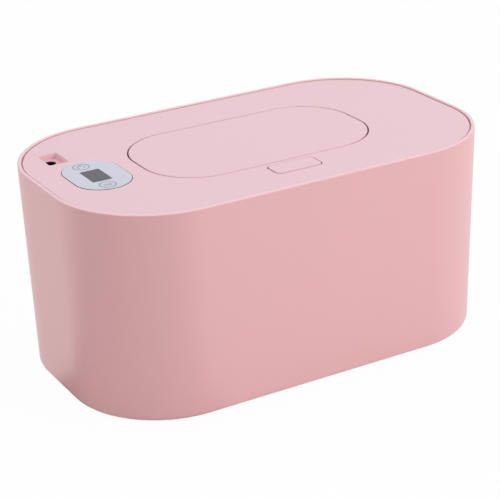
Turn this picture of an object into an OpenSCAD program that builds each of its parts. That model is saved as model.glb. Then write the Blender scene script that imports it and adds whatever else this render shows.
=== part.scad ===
// Baby wipe warmer with a lift-off lid, a sprung dispensing flap and a heater in the lid.
// Millimetres, +Z up, +X along the long side, the front is -Y, z = 0 is the table.

/* [Shell] */
// Length of the shell at the rim
body_l = 210; // [208:1:222]
// Width of the shell at the rim
body_w = 125; // [123:1:134]
// Height from the table to the rim
body_h = 99; // [95:1:120]
// Corner radius of the shell at the rim
corner_r = 47; // [46:0.5:49]
// Draft of the shell's walls, degrees
draft = 1.3; // [0.8:0.1:1.8]
// Wall thickness of the shell
shell_wall = 2.4; // [2:0.1:2.8]
// Floor thickness of the shell
shell_floor = 2.4; // [2:0.1:3]
// Radius of the shell's bottom edge
bottom_round = 2.2; // [1.5:0.1:4]
// Radius of the rim's outer edge
rim_round = 1; // [0.6:0.1:1.1]
// Radius of the rim's inner edge
rim_inner_round = 0.6; // [0.4:0.1:1]

/* [Liner] */
// Air gap between the shell and the liner
air_gap = 3.2; // [2.8:0.1:3.6]
// Wall thickness of the liner
liner_wall = 1.5; // [1.2:0.1:1.8]
// Inner radius between the liner's wall and floor
liner_round = 6; // [3:0.5:10]
// Height of the liner's floor over the table
liner_floor_z = 12; // [11:0.5:16]
// Thickness of the flange that carries the lid
flange_t = 1.6; // [1.2:0.1:2.2]
// Thickness of the ribs that carry the flange
rib_t = 1.8; // [1.2:0.1:2.4]

/* [Feet] */
// Radius of a foot pad
foot_r = 7.7; // [7:0.1:9]
// Thickness of a foot pad
foot_t = 1.9; // [1.6:0.1:2.1]
// How far a foot pad stands below the shell
foot_drop = 0.8; // [0.5:0.1:1.2]
// Distance of a foot from the corner's centre
foot_out = 30; // [26:0.5:31]

/* [Lid] */
// Depth of the lid's top face below the rim
lid_drop = 0.5; // [0.2:0.1:1]
// Gap between the lid's skirt and the rim
lid_gap = 0.35; // [0.3:0.05:0.6]
// Thickness of the lid's top plate
lid_t = 2.2; // [2:0.1:2.5]
// Height of the lid's skirt with its plate
skirt_h = 5; // [4.6:0.1:5.5]
// Thickness of the lid's skirt
skirt_t = 1.8; // [1.4:0.1:2.1]
// Thickness of the seal under the lid's edge
seal_t = 1.5; // [1.2:0.1:2]
// Depth of the tray from the lid's top face
tray_depth = 16.5; // [16.3:0.1:18]
// Wall and floor thickness of the tray
tray_t = 1.5; // [1.3:0.1:1.7]
// Gap between the tray and the liner
tray_gap = 0.6; // [0.4:0.1:0.9]

/* [Heater] */
// Thickness of the foam over the heater
pad_t = 3; // [2.6:0.1:4]
// Thickness of the heating film
film_t = 0.4; // [0.3:0.1:0.6]
// Thickness of the heater plate
plate_t = 1.2; // [1:0.1:2]
// Margin from the tray's side to the heater plate's edge
plate_margin = 2; // [1.5:0.1:4]

/* [Flap] */
// Distance of the flap's ends from the shell's ends
flap_end = 48.5; // [48:0.5:50.5]
// Distance of the flap's sides from the shell's sides, at a centred flap
flap_side = 31; // [30.75:0.25:32]
// Half length of the straight part of the flap's ends
flap_flat = 5.5; // [4:0.5:11]
// Thickness of the flap's plate
flap_t = 2.2; // [2:0.1:2.3]
// Gap between the flap and the lid
flap_gap = 0.5; // [0.45:0.05:0.6]
// Place of the flap's centre behind the lid's centre
flap_y = 0.5; // [0:0.5:1]
// Distance of the hinge pin behind the flap's back edge
hinge_back = 6.5; // [6.2:0.1:7]
// Depth of the hinge pin below the lid's top face
hinge_drop = 4.2; // [4.1:0.1:4.4]
// Radius of the hinge pin
pin_r = 1; // [0.9:0.05:1]
// Thickness of a hinge arm, measured from the pin outwards
arm_t = 2; // [1.6:0.1:2.2]
// Width of a hinge arm along the pin
arm_w = 3.3; // [2.5:0.1:4]
// Distance from the middle to the inner face of a hinge arm
arm_x = 16.8; // [12:0.1:17.5]

/* [Outlet] */
// Length of the outlet's collar
outlet_l = 76; // [70:1:80]
// Width of the outlet's collar
outlet_w = 32; // [30:1:33]
// Wall thickness of the outlet's collar
collar_t = 1.6; // [1.4:0.1:1.8]
// Height of the collar's top over the tray's floor
collar_h = 7; // [6:0.1:7.2]
// Length of the dispensing slot
slot_l = 54; // [40:1:58]
// Width of the dispensing slot
slot_w = 8; // [6:0.5:9]

/* [Release button] */
// Length of the button
button_l = 23; // [21:0.5:24]
// Width of the button
button_w = 10.6; // [10.2:0.1:11]
// Corner radius of the button
button_r = 2.4; // [1.5:0.1:3]
// Gap between the button's back edge and the flap
button_back = 3.4; // [3.2:0.1:3.8]
// Travel of the button
button_travel = 2; // [1.6:0.1:2]

/* [Control panel] */
// Length of the panel along the lid's width
panel_l = 38; // [34:1:40]
// Width of the panel
panel_w = 26; // [24:0.5:26]
// Distance of the panel's middle from the shell's left end
panel_in = 27.2; // [26.5:0.1:27.4]
// Thickness of the panel
panel_t = 1.35; // [1.2:0.05:1.4]
// Depth of the panel's pocket
pocket_t = 1.2; // [1:0.05:1.2]
// Length of the display window along the lid's width
window_l = 14.8; // [12:0.1:16]
// Width of the display window
window_w = 9.3; // [8:0.1:11]

/* [Power inlet] */
// Length of the inlet's recess along the lid's width
recess_l = 14.4; // [12:0.1:15]
// Width of the inlet's recess
recess_w = 9; // [8.6:0.1:10]
// Corner radius of the inlet's recess
recess_r = 0.8; // [0.5:0.1:1.4]
// Depth of the inlet's recess
recess_h = 2.8; // [2.6:0.1:3.2]
// Distance of the recess's middle from the shell's left end
inlet_in = 19.6; // [19:0.1:21]
// Distance of the recess's middle from the shell's back
inlet_back = 32.2; // [31.5:0.1:33.5]
// Distance of the bore to the left of the recess's middle
bore_left = 0.5; // [0:0.1:1]
// Distance of the bore behind the recess's middle
bore_back = 2.4; // [0:0.1:3]
// Radius of the inlet's bore
inlet_r = 2.85; // [2.6:0.05:3]

/* [Hidden] */
$fn = 64;
sliver = 0.01;

pink = "#e6bcc0";
pink_top = "#ebced3";
white = "#f1efea";
silver = "#c9ccd0";
steel = "#9ba0a6";
dark = "#2b2b2e";
silicone = "#e9e6e1";
green = "#2f6b4a";
amber = "#b9772c";

// Corner centres, shared by every outline that follows the shell
cx = body_l / 2 - corner_r;
cy = body_w / 2 - corner_r;
floor_top = foot_drop + shell_floor;
fit = 0.3;

// Distance of the shell's faces from the corner centres at height z
function shell_out(z) = corner_r - (body_h - z) * tan(draft);
function shell_in(z) = shell_out(z) - shell_wall;
function liner_out(z) = shell_in(z) - air_gap;
function liner_in(z) = liner_out(z) - liner_wall;

// Heights of the lid's faces
lid_z = body_h - lid_drop;
lid_under = lid_z - lid_t;
skirt_z = lid_z - skirt_h;
flange_z = skirt_z - seal_t;
tray_z = lid_z - tray_depth;
tray_floor = tray_z + tray_t;
pad_z = tray_z - pad_t;
film_z = pad_z - film_t;
plate_z = film_z - plate_t;

// Outlines of the lid
lid_r = shell_in(skirt_z) - lid_gap;
tray_r = liner_in(tray_z) - tray_gap;
tray_flange_h = 1.5;
tray_flange_r = lid_r - skirt_t - 0.15;
plate_r = tray_r - plate_margin;

// Flap, well and hinge
flap_l = body_l - 2 * flap_end;
flap_w = body_w - 2 * flap_side;
flap_r = flap_w / 2 - flap_flat;
flap_lean = 0.85;
flap_back = flap_y + flap_w / 2;
flap_front = flap_y - flap_w / 2;
hinge_y = flap_back + hinge_back;
hinge_z = lid_z - hinge_drop;
arm_in = norm([hinge_back - flap_gap, hinge_drop]) + 0.4;
arm_out = arm_in + arm_t;
hub_r = hinge_drop - lid_t - 0.2;
lug_x = arm_x + arm_w + 0.4;
lug_w = 3;
well_margin = 1.2;
well_t = 1.5;
bay_x = lug_x + lug_w + 1.4;
bay_y = hinge_y + hub_r + 0.8;
collar_z = tray_floor + collar_h;
seal_mid = collar_t / 2;
seal_foot = 2.5;
lip_near = 1.1;
lip_far = 2.5;
foam_t = 2.6;
foam_gap = 0.2;

// Button and latch
button_y = flap_front - button_back - button_w / 2;
button_z = lid_z + 0.15;
button_gap = 0.3;
cap_under = lid_z - 2;
leaf_y = button_y + button_w / 2 - 2;
leaf_t = 1.2;
leaf_top = cap_under - button_travel - 0.3;
ramp = 1.6;
nose_top = leaf_top - ramp;
nose_t = 1.6;
nose_w = 8;
catch_top = nose_top - nose_t - 0.2;
catch_t = 1.5;
nose_reach = 1.1;
leaf_half = button_l / 2 - 3.5;
foot_half = leaf_half - 3;
latch_foot = 5;
latch_foot_t = 2;
peg_x = foot_half - 2;
peg_y = leaf_y - leaf_t - 2.4;
spring_x = button_l / 2 - 3.7;
spring_y = leaf_y - leaf_t - 4.1;
spring_r = 1.6;
spring_wire = 0.3;
touch_r = 2;

// Control panel, display and board
panel_x = panel_in - body_l / 2;
panel_y = -0.3;
panel_gap = 0.2;
pocket_z = lid_z - pocket_t;
window_x = panel_x - 0.7;
window_y = panel_y - 0.5;
key_y = 12.9;
board_t = 1.6;
board_z = tray_floor + 4.9;
board_top = board_z + board_t;
board_side = 4.3;
board_to_well = 2.2;
board_ahead = 29;
board_behind = 18;
board_left = -(cx + tray_r - tray_t) + board_side;
board_right = -(flap_l / 2 + flap_gap + well_margin + well_t) - board_to_well;
board_front = panel_y - board_ahead;
board_back = panel_y + board_behind;
board_hole_x = 3.2;
board_grip = 4;
lead_in = 4;
lead_ahead = 8;
lead_pitch = 3.4;
chip_w = 6;
chip_l = 7;
chip_h = 1.6;
driver_w = 5;
driver_h = 2.2;
capacitor_r = 2.6;
capacitor_h = 4.5;
plug_h = 4;
part_in = 7;

// Power inlet
inlet_x = inlet_in - body_l / 2;
inlet_y = body_w / 2 - inlet_back;
inlet_z = lid_z - recess_h;
bore_x = inlet_x - bore_left;
bore_y = inlet_y + bore_back;
cup_t = 1.4;
socket_t = 1.15;
socket_r = inlet_r + socket_t;
socket_h = 9;
socket_floor = 1.6;
socket_foot = 2;
socket_foot_h = 5;

// Screw places: [x, y] of the lid's, the plate's and the board's screws
lid_screw_beside = 11;
plate_screw_beside = 24;
lid_screw_grip = 6.5;
lid_screw_head = 2.7;
lid_screw_head_h = 1.9;
lid_boss_floor = 1.6;
lid_screw_out = tray_r - 7.4;
lid_bosses = [
    for (sx = [-1, 1], sy = [-1, 1])
        [sx * (cx + lid_screw_out * cos(60)), sy * (cy + lid_screw_out * sin(60))],
    for (sx = [-1, 1]) [sx * (bay_x + 8), cy + lid_screw_out],
    for (sx = [-1, 1]) [sx * (button_l / 2 + lid_screw_beside), -cy - lid_screw_out]
];
plate_screw_out = plate_r - 5;
plate_bosses = [
    for (sx = [-1, 1], sy = [-1, 1])
        [sx * (cx + plate_screw_out * cos(8)), sy * (cy + plate_screw_out * sin(8))],
    for (sx = [-1, 1]) [sx * (button_l / 2 + plate_screw_beside), -cy - plate_screw_out],
    [0, cy + plate_screw_out]
];
board_bosses = [
    for (x = [board_left + board_hole_x, board_right - board_hole_x],
            y = [board_front + board_hole_x, board_back - board_hole_x]) [x, y]
];
feet = [
    for (sx = [-1, 1], sy = [-1, 1])
        [sx * (cx + foot_out * cos(48)), sy * (cy + foot_out * sin(48))]
];

// Rounded rectangle with half sizes a and b and corner radius r, down to full round ends
module rounded(a, b, r) {
    long = a - r > sliver;
    wide = b - r > sliver;
    if (long) square([2 * (a - r), 2 * b], center = true);
    if (wide) square([2 * a, 2 * (b - r)], center = true);
    for (sx = long ? [-1, 1] : [0], sy = wide ? [-1, 1] : [0])
        translate([sx * (a - r), sy * (b - r)]) circle(r);
}

// Upright block with a rounded outline, from z0 to z1
module slab(a, b, r, z0, z1) {
    translate([0, 0, z0]) linear_extrude(z1 - z0) rounded(a, b, r);
}

// Outline a distance r out from the shell's corner centres
module lid_outline(r) {
    rounded(cx + r, cy + r, r);
}

// Outline a distance d out from the flap's edge
module flap_outline(d) {
    translate([0, flap_y]) rounded(flap_l / 2 + d, flap_w / 2 + d, flap_r + d);
}

// Outline a distance d out from the collar's edge, with full round ends
module outlet_outline(d) {
    translate([0, flap_y])
        rounded(outlet_l / 2 + d, outlet_w / 2 + d, outlet_w / 2 + d);
}

// Sweeps a section round a rounded rectangle: the section's x is the distance out
// from the corner centres, which lie at half_x and half_y, and its y is the height.
module round_sweep(half_x, half_y) {
    for (sx = [0, 1], sy = [0, 1])
        mirror([sx, 0, 0]) mirror([0, sy, 0]) translate([half_x, half_y, 0])
            rotate_extrude(angle = 90) children();
    for (sx = [0, 1])
        mirror([sx, 0, 0]) translate([half_x, 0, 0]) rotate([90, 0, 0])
            linear_extrude(2 * half_y, center = true) children();
    for (sy = [0, 1])
        mirror([0, sy, 0]) translate([0, half_y, 0]) rotate([90, 0, 90])
            linear_extrude(2 * half_x, center = true) children();
}

// Solid core between the corner centres
module core(z0, z1) {
    translate([-cx, -cy, z0]) cube([2 * cx, 2 * cy, z1 - z0]);
}

// Section of a drafted side from x = 0 out to r_top at z_top, its lower edge rounded
module drafted_side(r_top, z_top, z_low, round) {
    mid = [r_top - (z_top - z_low - round) * tan(draft) - round / cos(draft), z_low + round];
    polygon([[0, z_low], [mid.x, z_low], mid, mid + round * [cos(draft), -sin(draft)],
        [r_top, z_top], [0, z_top]]);
    intersection() {
        translate(mid) circle(round);
        translate([mid.x, z_low]) square(round);
    }
}

// Sweeps a round wire along a path, as one closed mesh. ref is never along the path.
module wire(path, r, sides, ref) {
    n = len(path);
    function along(i) = path[min(i + 1, n - 1)] - path[max(i - 1, 0)];
    function unit(v) = v / norm(v);
    rings = [
        for (i = [0:n - 1])
            let (t = unit(along(i)), u = unit(cross(t, ref)), v = cross(t, u))
                for (k = [0:sides - 1])
                    path[i] + r * (cos(360 * k / sides) * u + sin(360 * k / sides) * v)
    ];
    quads = [
        for (i = [0:n - 2], k = [0:sides - 1])
            let (a = i * sides + k, b = i * sides + (k + 1) % sides)
                [a, b, b + sides, a + sides]
    ];
    halves = [for (q = quads) each [[q[0], q[1], q[2]], [q[0], q[2], q[3]]]];
    near = [for (k = [1:sides - 2]) [0, k + 1, k]];
    last = (n - 1) * sides;
    far = [for (k = [1:sides - 2]) [last, last + k, last + k + 1]];
    polyhedron(points = rings, faces = concat(near, halves, far), convexity = 6);
}

// Upright coil spring standing at z0
module coil(r, wire_r, z0, height, turns) {
    steps = 10;
    wire([
        for (i = [0:turns * steps])
            [r * cos(360 * i / steps), r * sin(360 * i / steps),
                z0 + wire_r + (height - 2 * wire_r) * i / (turns * steps)]
    ], wire_r, 5, [0, 0, 1]);
}

// Extrudes a [y, z] section along X from x0 to x1
module along_x(x0, x1) {
    translate([x0, 0, 0]) rotate([90, 0, 90]) linear_extrude(x1 - x0) children();
}

// Upright screw with its head down: head from z0, shank up to z1
module screw(z0, z1, head_r, head_h, shank_r) {
    difference() {
        union() {
            translate([0, 0, z0]) cylinder(h = head_h, r = head_r);
            translate([0, 0, z0]) cylinder(h = z1 - z0, r = shank_r);
        }
        for (a = [0, 90])
            rotate(a) translate([-head_r * 0.6, -0.3, z0 - 1]) cube([head_r * 1.2, 0.6, 1.7]);
    }
}

module at(places) {
    for (p = places) translate([p.x, p.y, 0]) children();
}

// ---- Housing ----

foot_recess_z = foot_t;
base_seat_z = foot_recess_z + 2.2;
base_boss_z = base_seat_z + 1.6;

module shell_section() {
    rim_z = body_h - rim_round;
    lip_z = body_h - rim_inner_round;
    rim_out = shell_out(rim_z) - rim_round / cos(draft);
    rim_in = shell_in(lip_z) + rim_inner_round / cos(draft);
    lean = [cos(draft), -sin(draft)];
    difference() {
        drafted_side(shell_out(rim_z), rim_z, foot_drop, bottom_round);
        drafted_side(shell_in(rim_z), rim_z, floor_top, 0.6);
    }
    polygon([[rim_out, rim_z - 0.2], [rim_out, rim_z] + rim_round * lean, [rim_out, body_h],
        [rim_in, body_h], [rim_in, lip_z] - rim_inner_round * lean, [shell_in(rim_z), rim_z],
        [rim_in, rim_z - 0.2]]);
    translate([rim_out, rim_z]) circle(rim_round);
    translate([rim_in, lip_z]) circle(rim_inner_round);
}

// Rib that stands between the shell's wall and the liner, up to the flange
module shell_rib_section() {
    top = flange_z - flange_t;
    polygon([[liner_out(floor_top) + fit, floor_top - 0.5], [shell_in(floor_top) + 0.5, floor_top - 0.5],
        [shell_in(top) + 0.5, top], [liner_out(top) + fit, top]]);
}

module shell_ribs() {
    for (x = [-0.85, 0, 0.85], s = [0, 1])
        mirror([0, s, 0]) translate([x * cx, cy, 0]) rotate([90, 0, 90])
            linear_extrude(rib_t, center = true) shell_rib_section();
    for (s = [0, 1])
        mirror([s, 0, 0]) translate([cx, 0, 0]) rotate([90, 0, 0])
            linear_extrude(rib_t, center = true) shell_rib_section();
    for (sx = [0, 1], sy = [0, 1])
        mirror([sx, 0, 0]) mirror([0, sy, 0]) translate([cx, cy, 0]) rotate([90, 0, 45])
            linear_extrude(rib_t, center = true) shell_rib_section();
}

module tub() {
    color(pink) difference() {
        union() {
            round_sweep(cx, cy) shell_section();
            core(foot_drop, floor_top);
            shell_ribs();
            at(feet) translate([0, 0, floor_top - 0.5])
                cylinder(h = base_boss_z - floor_top + 0.5, r = 5.5);
        }
        at(feet) {
            translate([0, 0, foot_drop - 1]) cylinder(h = foot_recess_z - foot_drop + 1, r = foot_r + 0.2);
            cylinder(h = base_seat_z, r = 3.3);
            cylinder(h = base_boss_z + 1, r = 1.7);
        }
    }
}

module inner_liner() {
    top = flange_z;
    color(white) difference() {
        union() {
            round_sweep(cx, cy) difference() {
                union() {
                    drafted_side(liner_out(top), top, liner_floor_z - liner_wall, liner_round + liner_wall);
                    translate([liner_in(top) + 0.2, top - flange_t])
                        square([shell_in(top - flange_t) - fit - liner_in(top) - 0.2, flange_t]);
                }
                drafted_side(liner_in(top + 1), top + 1, liner_floor_z, liner_round);
            }
            core(liner_floor_z - liner_wall, liner_floor_z);
            at(feet) translate([0, 0, base_boss_z])
                cylinder(h = liner_floor_z - base_boss_z - 0.5, r = 3.6);
        }
        at(feet) translate([0, 0, base_boss_z - 1])
            cylinder(h = liner_floor_z - liner_wall - base_boss_z + 1.5, r = 1.4);
    }
}

module foot_pads() {
    color(dark) at(feet) {
        cylinder(h = foot_t - 0.4, r = foot_r);
        translate([0, 0, foot_t - 0.4]) cylinder(h = 0.4, r = foot_r - 0.5);
    }
}

module base_screws() {
    color(steel) at(feet) screw(base_seat_z - 1.8, liner_floor_z - liner_wall + 0.2, 2.9, 1.8, 1.35);
}

// ---- Lid ----

boss_z = tray_floor + 3;

module lid_top_section() {
    edge = 0.35;
    translate([0, lid_under]) square([lid_r - edge, lid_t]);
    translate([lid_r - skirt_t, skirt_z]) square([skirt_t - edge, skirt_h]);
    translate([lid_r - skirt_t, skirt_z]) square([skirt_t, skirt_h - edge]);
    translate([lid_r - edge, lid_z - edge]) circle(edge);
}

// Cuts a rounded edge into a hole of half sizes a and b whose corners have radius r
module hole_edge(a, b, r, edge) {
    round_sweep(a - r, b - r) difference() {
        translate([r - sliver, lid_z - edge]) square([edge + sliver, edge + 1]);
        translate([r + edge, lid_z - edge]) circle(edge);
    }
}

module lid_top() {
    color(pink_top) difference() {
        union() {
            round_sweep(cx, cy) lid_top_section();
            core(lid_under, lid_z);
            at(lid_bosses) translate([0, 0, boss_z])
                cylinder(h = lid_under - boss_z + 0.5, r = 3);
            at(board_bosses) translate([0, 0, board_top])
                cylinder(h = lid_under - board_top + 0.5, r = 2.4);
        }
        translate([0, 0, skirt_z - 1]) linear_extrude(skirt_h + 2) flap_outline(flap_gap);
        translate([0, flap_y, 0])
            hole_edge(flap_l / 2 + flap_gap, flap_w / 2 + flap_gap, flap_r + flap_gap, 0.3);
        translate([0, button_y, 0]) {
            slab(button_l / 2 + button_gap, button_w / 2 + button_gap, button_r + button_gap,
                skirt_z - 1, lid_z + 1);
            hole_edge(button_l / 2 + button_gap, button_w / 2 + button_gap, button_r + button_gap, 0.25);
        }
        translate([panel_x, panel_y, 0])
            slab(panel_w / 2 + panel_gap, panel_l / 2 + panel_gap, panel_w / 2 + panel_gap,
                pocket_z, lid_z + 1);
        translate([window_x, window_y, 0])
            slab(window_w / 2 - 0.6, window_l / 2 - 0.6, 0.5, lid_under - 1, lid_z);
        translate([inlet_x, inlet_y, 0])
            slab(recess_w / 2, recess_l / 2, recess_r, lid_under - 1, lid_z + 1);
        at(lid_bosses) translate([0, 0, boss_z - 1]) cylinder(h = lid_screw_grip + 1.5, r = 1.35);
        at(board_bosses) translate([0, 0, board_top - 1]) cylinder(h = board_grip + 1.5, r = 1.05);
    }
}

// Floor of the inlet's recess, fixed under the hole in the lid's plate
module inlet_floor() {
    color(pink_top) difference() {
        translate([inlet_x, inlet_y, 0])
            slab(recess_w / 2 + cup_t, recess_l / 2 + cup_t, recess_r + cup_t,
                inlet_z - cup_t, lid_under);
        translate([inlet_x, inlet_y, 0])
            slab(recess_w / 2, recess_l / 2, recess_r, inlet_z, lid_under + 1);
        translate([bore_x, bore_y, inlet_z - cup_t - 1]) cylinder(h = cup_t + 2, r = inlet_r);
    }
}

module bay_outline(d) {
    translate([-bay_x - d, flap_y]) square([2 * (bay_x + d), bay_y - flap_y + d]);
}

module hinge_lugs() {
    foot_h = hinge_z - tray_floor;
    for (s = [-1, 1])
        along_x(s * (lug_x + lug_w / 2) - lug_w / 2, s * (lug_x + lug_w / 2) + lug_w / 2) {
            translate([hinge_y, hinge_z]) circle(hub_r);
            translate([hinge_y, hinge_z])
                polygon([[-hub_r, 0], [hub_r, 0], [0.6, -foot_h - 0.5], [-hub_r - 2.5, -foot_h - 0.5]]);
        }
}

module lid_base() {
    window = [nose_top - nose_t - 0.6, nose_top + 0.5];
    color(pink_top) difference() {
        union() {
            difference() {
                translate([0, 0, tray_z]) linear_extrude(skirt_z + tray_flange_h - tray_z)
                    lid_outline(tray_r);
                translate([0, 0, tray_floor]) linear_extrude(skirt_h + tray_depth)
                    lid_outline(tray_r - tray_t);
            }
            difference() {
                translate([0, 0, skirt_z]) linear_extrude(tray_flange_h) lid_outline(tray_flange_r);
                translate([0, 0, skirt_z - 1]) linear_extrude(tray_flange_h + 2)
                    lid_outline(tray_r - tray_t);
            }
            translate([0, 0, tray_floor - 0.5]) linear_extrude(lid_under - 0.2 - tray_floor + 0.5)
                difference() {
                    union() {
                        flap_outline(flap_gap + well_margin + well_t);
                        bay_outline(well_t);
                    }
                    flap_outline(flap_gap + well_margin);
                    bay_outline(0);
                }
            translate([0, 0, tray_floor - 0.5]) linear_extrude(collar_h + 0.5) difference() {
                outlet_outline(0);
                outlet_outline(-collar_t);
            }
            hinge_lugs();
            at(lid_bosses) translate([0, 0, tray_z]) cylinder(h = boss_z - 0.1 - tray_z, r = 4.4);
            at(plate_bosses) {
                translate([0, 0, film_z + 0.1]) cylinder(h = tray_z - film_z, r = 2.8);
                translate([0, 0, tray_z]) cylinder(h = tray_t + 3, r = 2.8);
            }
            for (s = [-1, 1]) {
                translate([s * spring_x, spring_y, tray_floor - 0.5]) cylinder(h = 4.5, r = spring_r - 0.5);
                translate([s * spring_x, spring_y, tray_floor - 0.5]) cylinder(h = 2.5, r = spring_r + 0.5);
                translate([s * peg_x, peg_y, tray_floor - 0.5]) cylinder(h = 3.2, r = 1);
            }
        }
        translate([0, 0, tray_z - 1]) linear_extrude(tray_t + 2) outlet_outline(-collar_t - 2.2);
        translate([-nose_w / 2 - 0.6, flap_front - 6, window[0]])
            cube([nose_w + 1.2, 6, window[1] - window[0]]);
        at(lid_bosses) {
            translate([0, 0, tray_z - 1])
                cylinder(h = boss_z - lid_boss_floor - tray_z + 1, r = lid_screw_head + 0.4);
            cylinder(h = body_h, r = 1.6);
        }
        at(plate_bosses) translate([0, 0, film_z - 1]) cylinder(h = tray_floor + 2 - film_z + 1, r = 1.35);
        translate([-bay_x - 1, hinge_y, hinge_z]) rotate([0, 90, 0])
            cylinder(h = 2 * bay_x + 2, r = pin_r + 0.02);
        for (y = lead_y) translate([lead_x, y, tray_z - 1]) cylinder(h = tray_t + 2, r = 1.2);
        translate([inlet_x, inlet_y, 0])
            slab(recess_w / 2 + cup_t + fit, recess_l / 2 + cup_t + fit, recess_r + cup_t + fit,
                inlet_z - cup_t - fit, lid_z);
    }
}

module lid_seal() {
    color(silicone) round_sweep(cx, cy) {
        translate([tray_r + 0.4, flange_z]) square([lid_r - tray_r - 1.2, seal_t]);
        translate([lid_r - 0.8, flange_z + seal_t / 2]) circle(seal_t / 2);
    }
}

module lid_screws() {
    seat_z = boss_z - lid_boss_floor;
    color(steel) at(lid_bosses)
        screw(seat_z - lid_screw_head_h, boss_z + lid_screw_grip, lid_screw_head, lid_screw_head_h, 1.3);
}

// ---- Heater under the lid ----

lead_x = board_right - lead_in;
lead_y = [board_front + lead_ahead, board_front + lead_ahead + lead_pitch];
sensor_x = 4;
sensor_y = 12;
thermistor_at = [-cx - sensor_x, -cy - sensor_y];
fuse_at = [-cx + 2 * sensor_x, -cy - 1.5 * sensor_y];

module heater_outline(r) {
    difference() {
        lid_outline(r);
        outlet_outline(-collar_t + 0.6);
    }
}

module insulation_pad() {
    color(white) difference() {
        translate([0, 0, pad_z]) linear_extrude(pad_t) heater_outline(plate_r - 0.6);
        at(plate_bosses) cylinder(h = body_h, r = 3.1);
        for (y = lead_y) translate([lead_x, y, pad_z - 1]) cylinder(h = pad_t + 2, r = 1.5);
        translate([thermistor_at.x - 2.3, thermistor_at.y - 1.8, pad_z - 1]) cube([4.6, 3.6, 3.3]);
        translate([fuse_at.x - 5.5, fuse_at.y - 1.6, pad_z - 1]) cube([11, 3.2, 3.5]);
    }
}

module heating_film() {
    color(amber) difference() {
        translate([0, 0, film_z]) linear_extrude(film_t) difference() {
            lid_outline(plate_r - 2.2);
            outlet_outline(3);
        }
        at(plate_bosses) cylinder(h = body_h, r = 3.6);
    }
}

module heater_plate() {
    color(silver) difference() {
        union() {
            translate([0, 0, plate_z]) linear_extrude(plate_t) heater_outline(plate_r);
            translate([0, 0, plate_z]) linear_extrude(plate_t + film_t - 0.05) difference() {
                lid_outline(plate_r);
                lid_outline(plate_r - 1.2);
            }
        }
        at(plate_bosses) translate([0, 0, plate_z - 1]) cylinder(h = plate_t + 2, r = 1.6);
    }
}

module plate_screws() {
    color(steel) at(plate_bosses) screw(plate_z - 1.5, tray_floor + 1.2, 2.6, 1.5, 1.3);
}

module thermistor() {
    color(dark) translate([thermistor_at.x - 2, thermistor_at.y - 1.5, pad_z])
        cube([4, 3, 2]);
}

module thermal_fuse() {
    color(silver) translate([fuse_at.x, fuse_at.y, pad_z + 1.15]) rotate([0, 90, 0]) {
        cylinder(h = 7, r = 1.1, center = true);
        cylinder(h = 10, r = 0.35, center = true);
    }
}

module heater_leads() {
    color(dark) for (y = lead_y)
        wire([[lead_x, y, board_z - 0.3], [lead_x, y, board_z - 2], [lead_x, y, tray_floor + 1],
            [lead_x, y, tray_z], [lead_x, y, film_z + film_t + 0.3]], 0.8, 8, [1, 0, 0]);
}

module outlet_gasket() {
    z0 = tray_floor;
    color(silicone) difference() {
        union() {
            translate([0, 0, z0]) linear_extrude(2) outlet_outline(-collar_t - 0.2);
            translate([0, 0, z0]) linear_extrude(collar_h - 1.5) difference() {
                outlet_outline(-collar_t - 0.2);
                outlet_outline(-collar_t - 1.4);
            }
        }
        translate([0, flap_y, z0 - 1]) linear_extrude(4) {
            rounded(slot_l / 2, slot_w / 2, slot_w / 2);
            for (i = [-3:3])
                translate([i * slot_l / 8.2, 0]) rounded(slot_w / 4.4 + 0.6, slot_w / 2 + 2, 1);
        }
    }
}

// ---- Electronics ----

module board_outline() {
    cut = 6;
    polygon([[board_left, board_front + 2 * cut], [board_left + cut, board_front],
        [board_right, board_front], [board_right, board_back], [board_left, board_back]]);
}

module main_board() {
    color(green) difference() {
        translate([0, 0, board_z]) linear_extrude(board_t) board_outline();
        at(board_bosses) translate([0, 0, board_z - 1]) cylinder(h = board_t + 2, r = 1.3);
    }
}

module board_parts() {
    color(dark) {
        translate([lead_x - lead_in - chip_w, board_front + part_in, board_top])
            cube([chip_w, chip_l, chip_h]);
        translate([board_right - lead_in - driver_w, board_back - part_in - driver_w, board_top])
            cube([driver_w, driver_w, driver_h]);
        translate([board_left + part_in + capacitor_r, board_front + part_in, board_top])
            cylinder(h = capacitor_h, r = capacitor_r);
        translate([lead_x - chip_w / 2, lead_y[0] - 2, board_top])
            cube([chip_w, lead_y[1] - lead_y[0] + 4, plug_h]);
    }
}

module board_screws() {
    color(steel) at(board_bosses) screw(board_z - 1.2, board_top + board_grip, 2, 1.2, 1);
}

module display_module() {
    color(dark) translate([window_x, window_y, board_top])
        translate([-window_w / 2 - 0.8, -window_l / 2 - 0.8, 0])
            cube([window_w + 1.6, window_l + 1.6, lid_under - board_top - fit]);
}

module touch_springs() {
    color(steel) for (s = [-1, 1])
        translate([window_x, panel_y + s * key_y, 0])
            coil(touch_r, spring_wire, board_top, lid_under - board_top, 6);
}

module control_panel() {
    color("#d2d2dc") difference() {
        translate([panel_x, panel_y, 0])
            slab(panel_w / 2, panel_l / 2, panel_w / 2, pocket_z, pocket_z + panel_t);
        translate([window_x, window_y, 0])
            slab(window_w / 2, window_l / 2, 0.6, pocket_z - 1, lid_z + 1);
    }
}

module display_window() {
    color("#5e5d66") translate([window_x, window_y, 0])
        slab(window_w / 2 - 0.06, window_l / 2 - 0.06, 0.54, pocket_z, pocket_z + panel_t - 0.05);
}

module power_socket() {
    color(dark) translate([bore_x, bore_y, inlet_z - cup_t - socket_h]) difference() {
        union() {
            cylinder(h = socket_h, r = socket_r);
            translate([-socket_r, -socket_r - socket_foot, 0])
                cube([2 * socket_r, socket_r + socket_foot, socket_foot_h]);
        }
        translate([0, 0, socket_floor]) cylinder(h = socket_h, r = inlet_r);
    }
}

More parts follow.
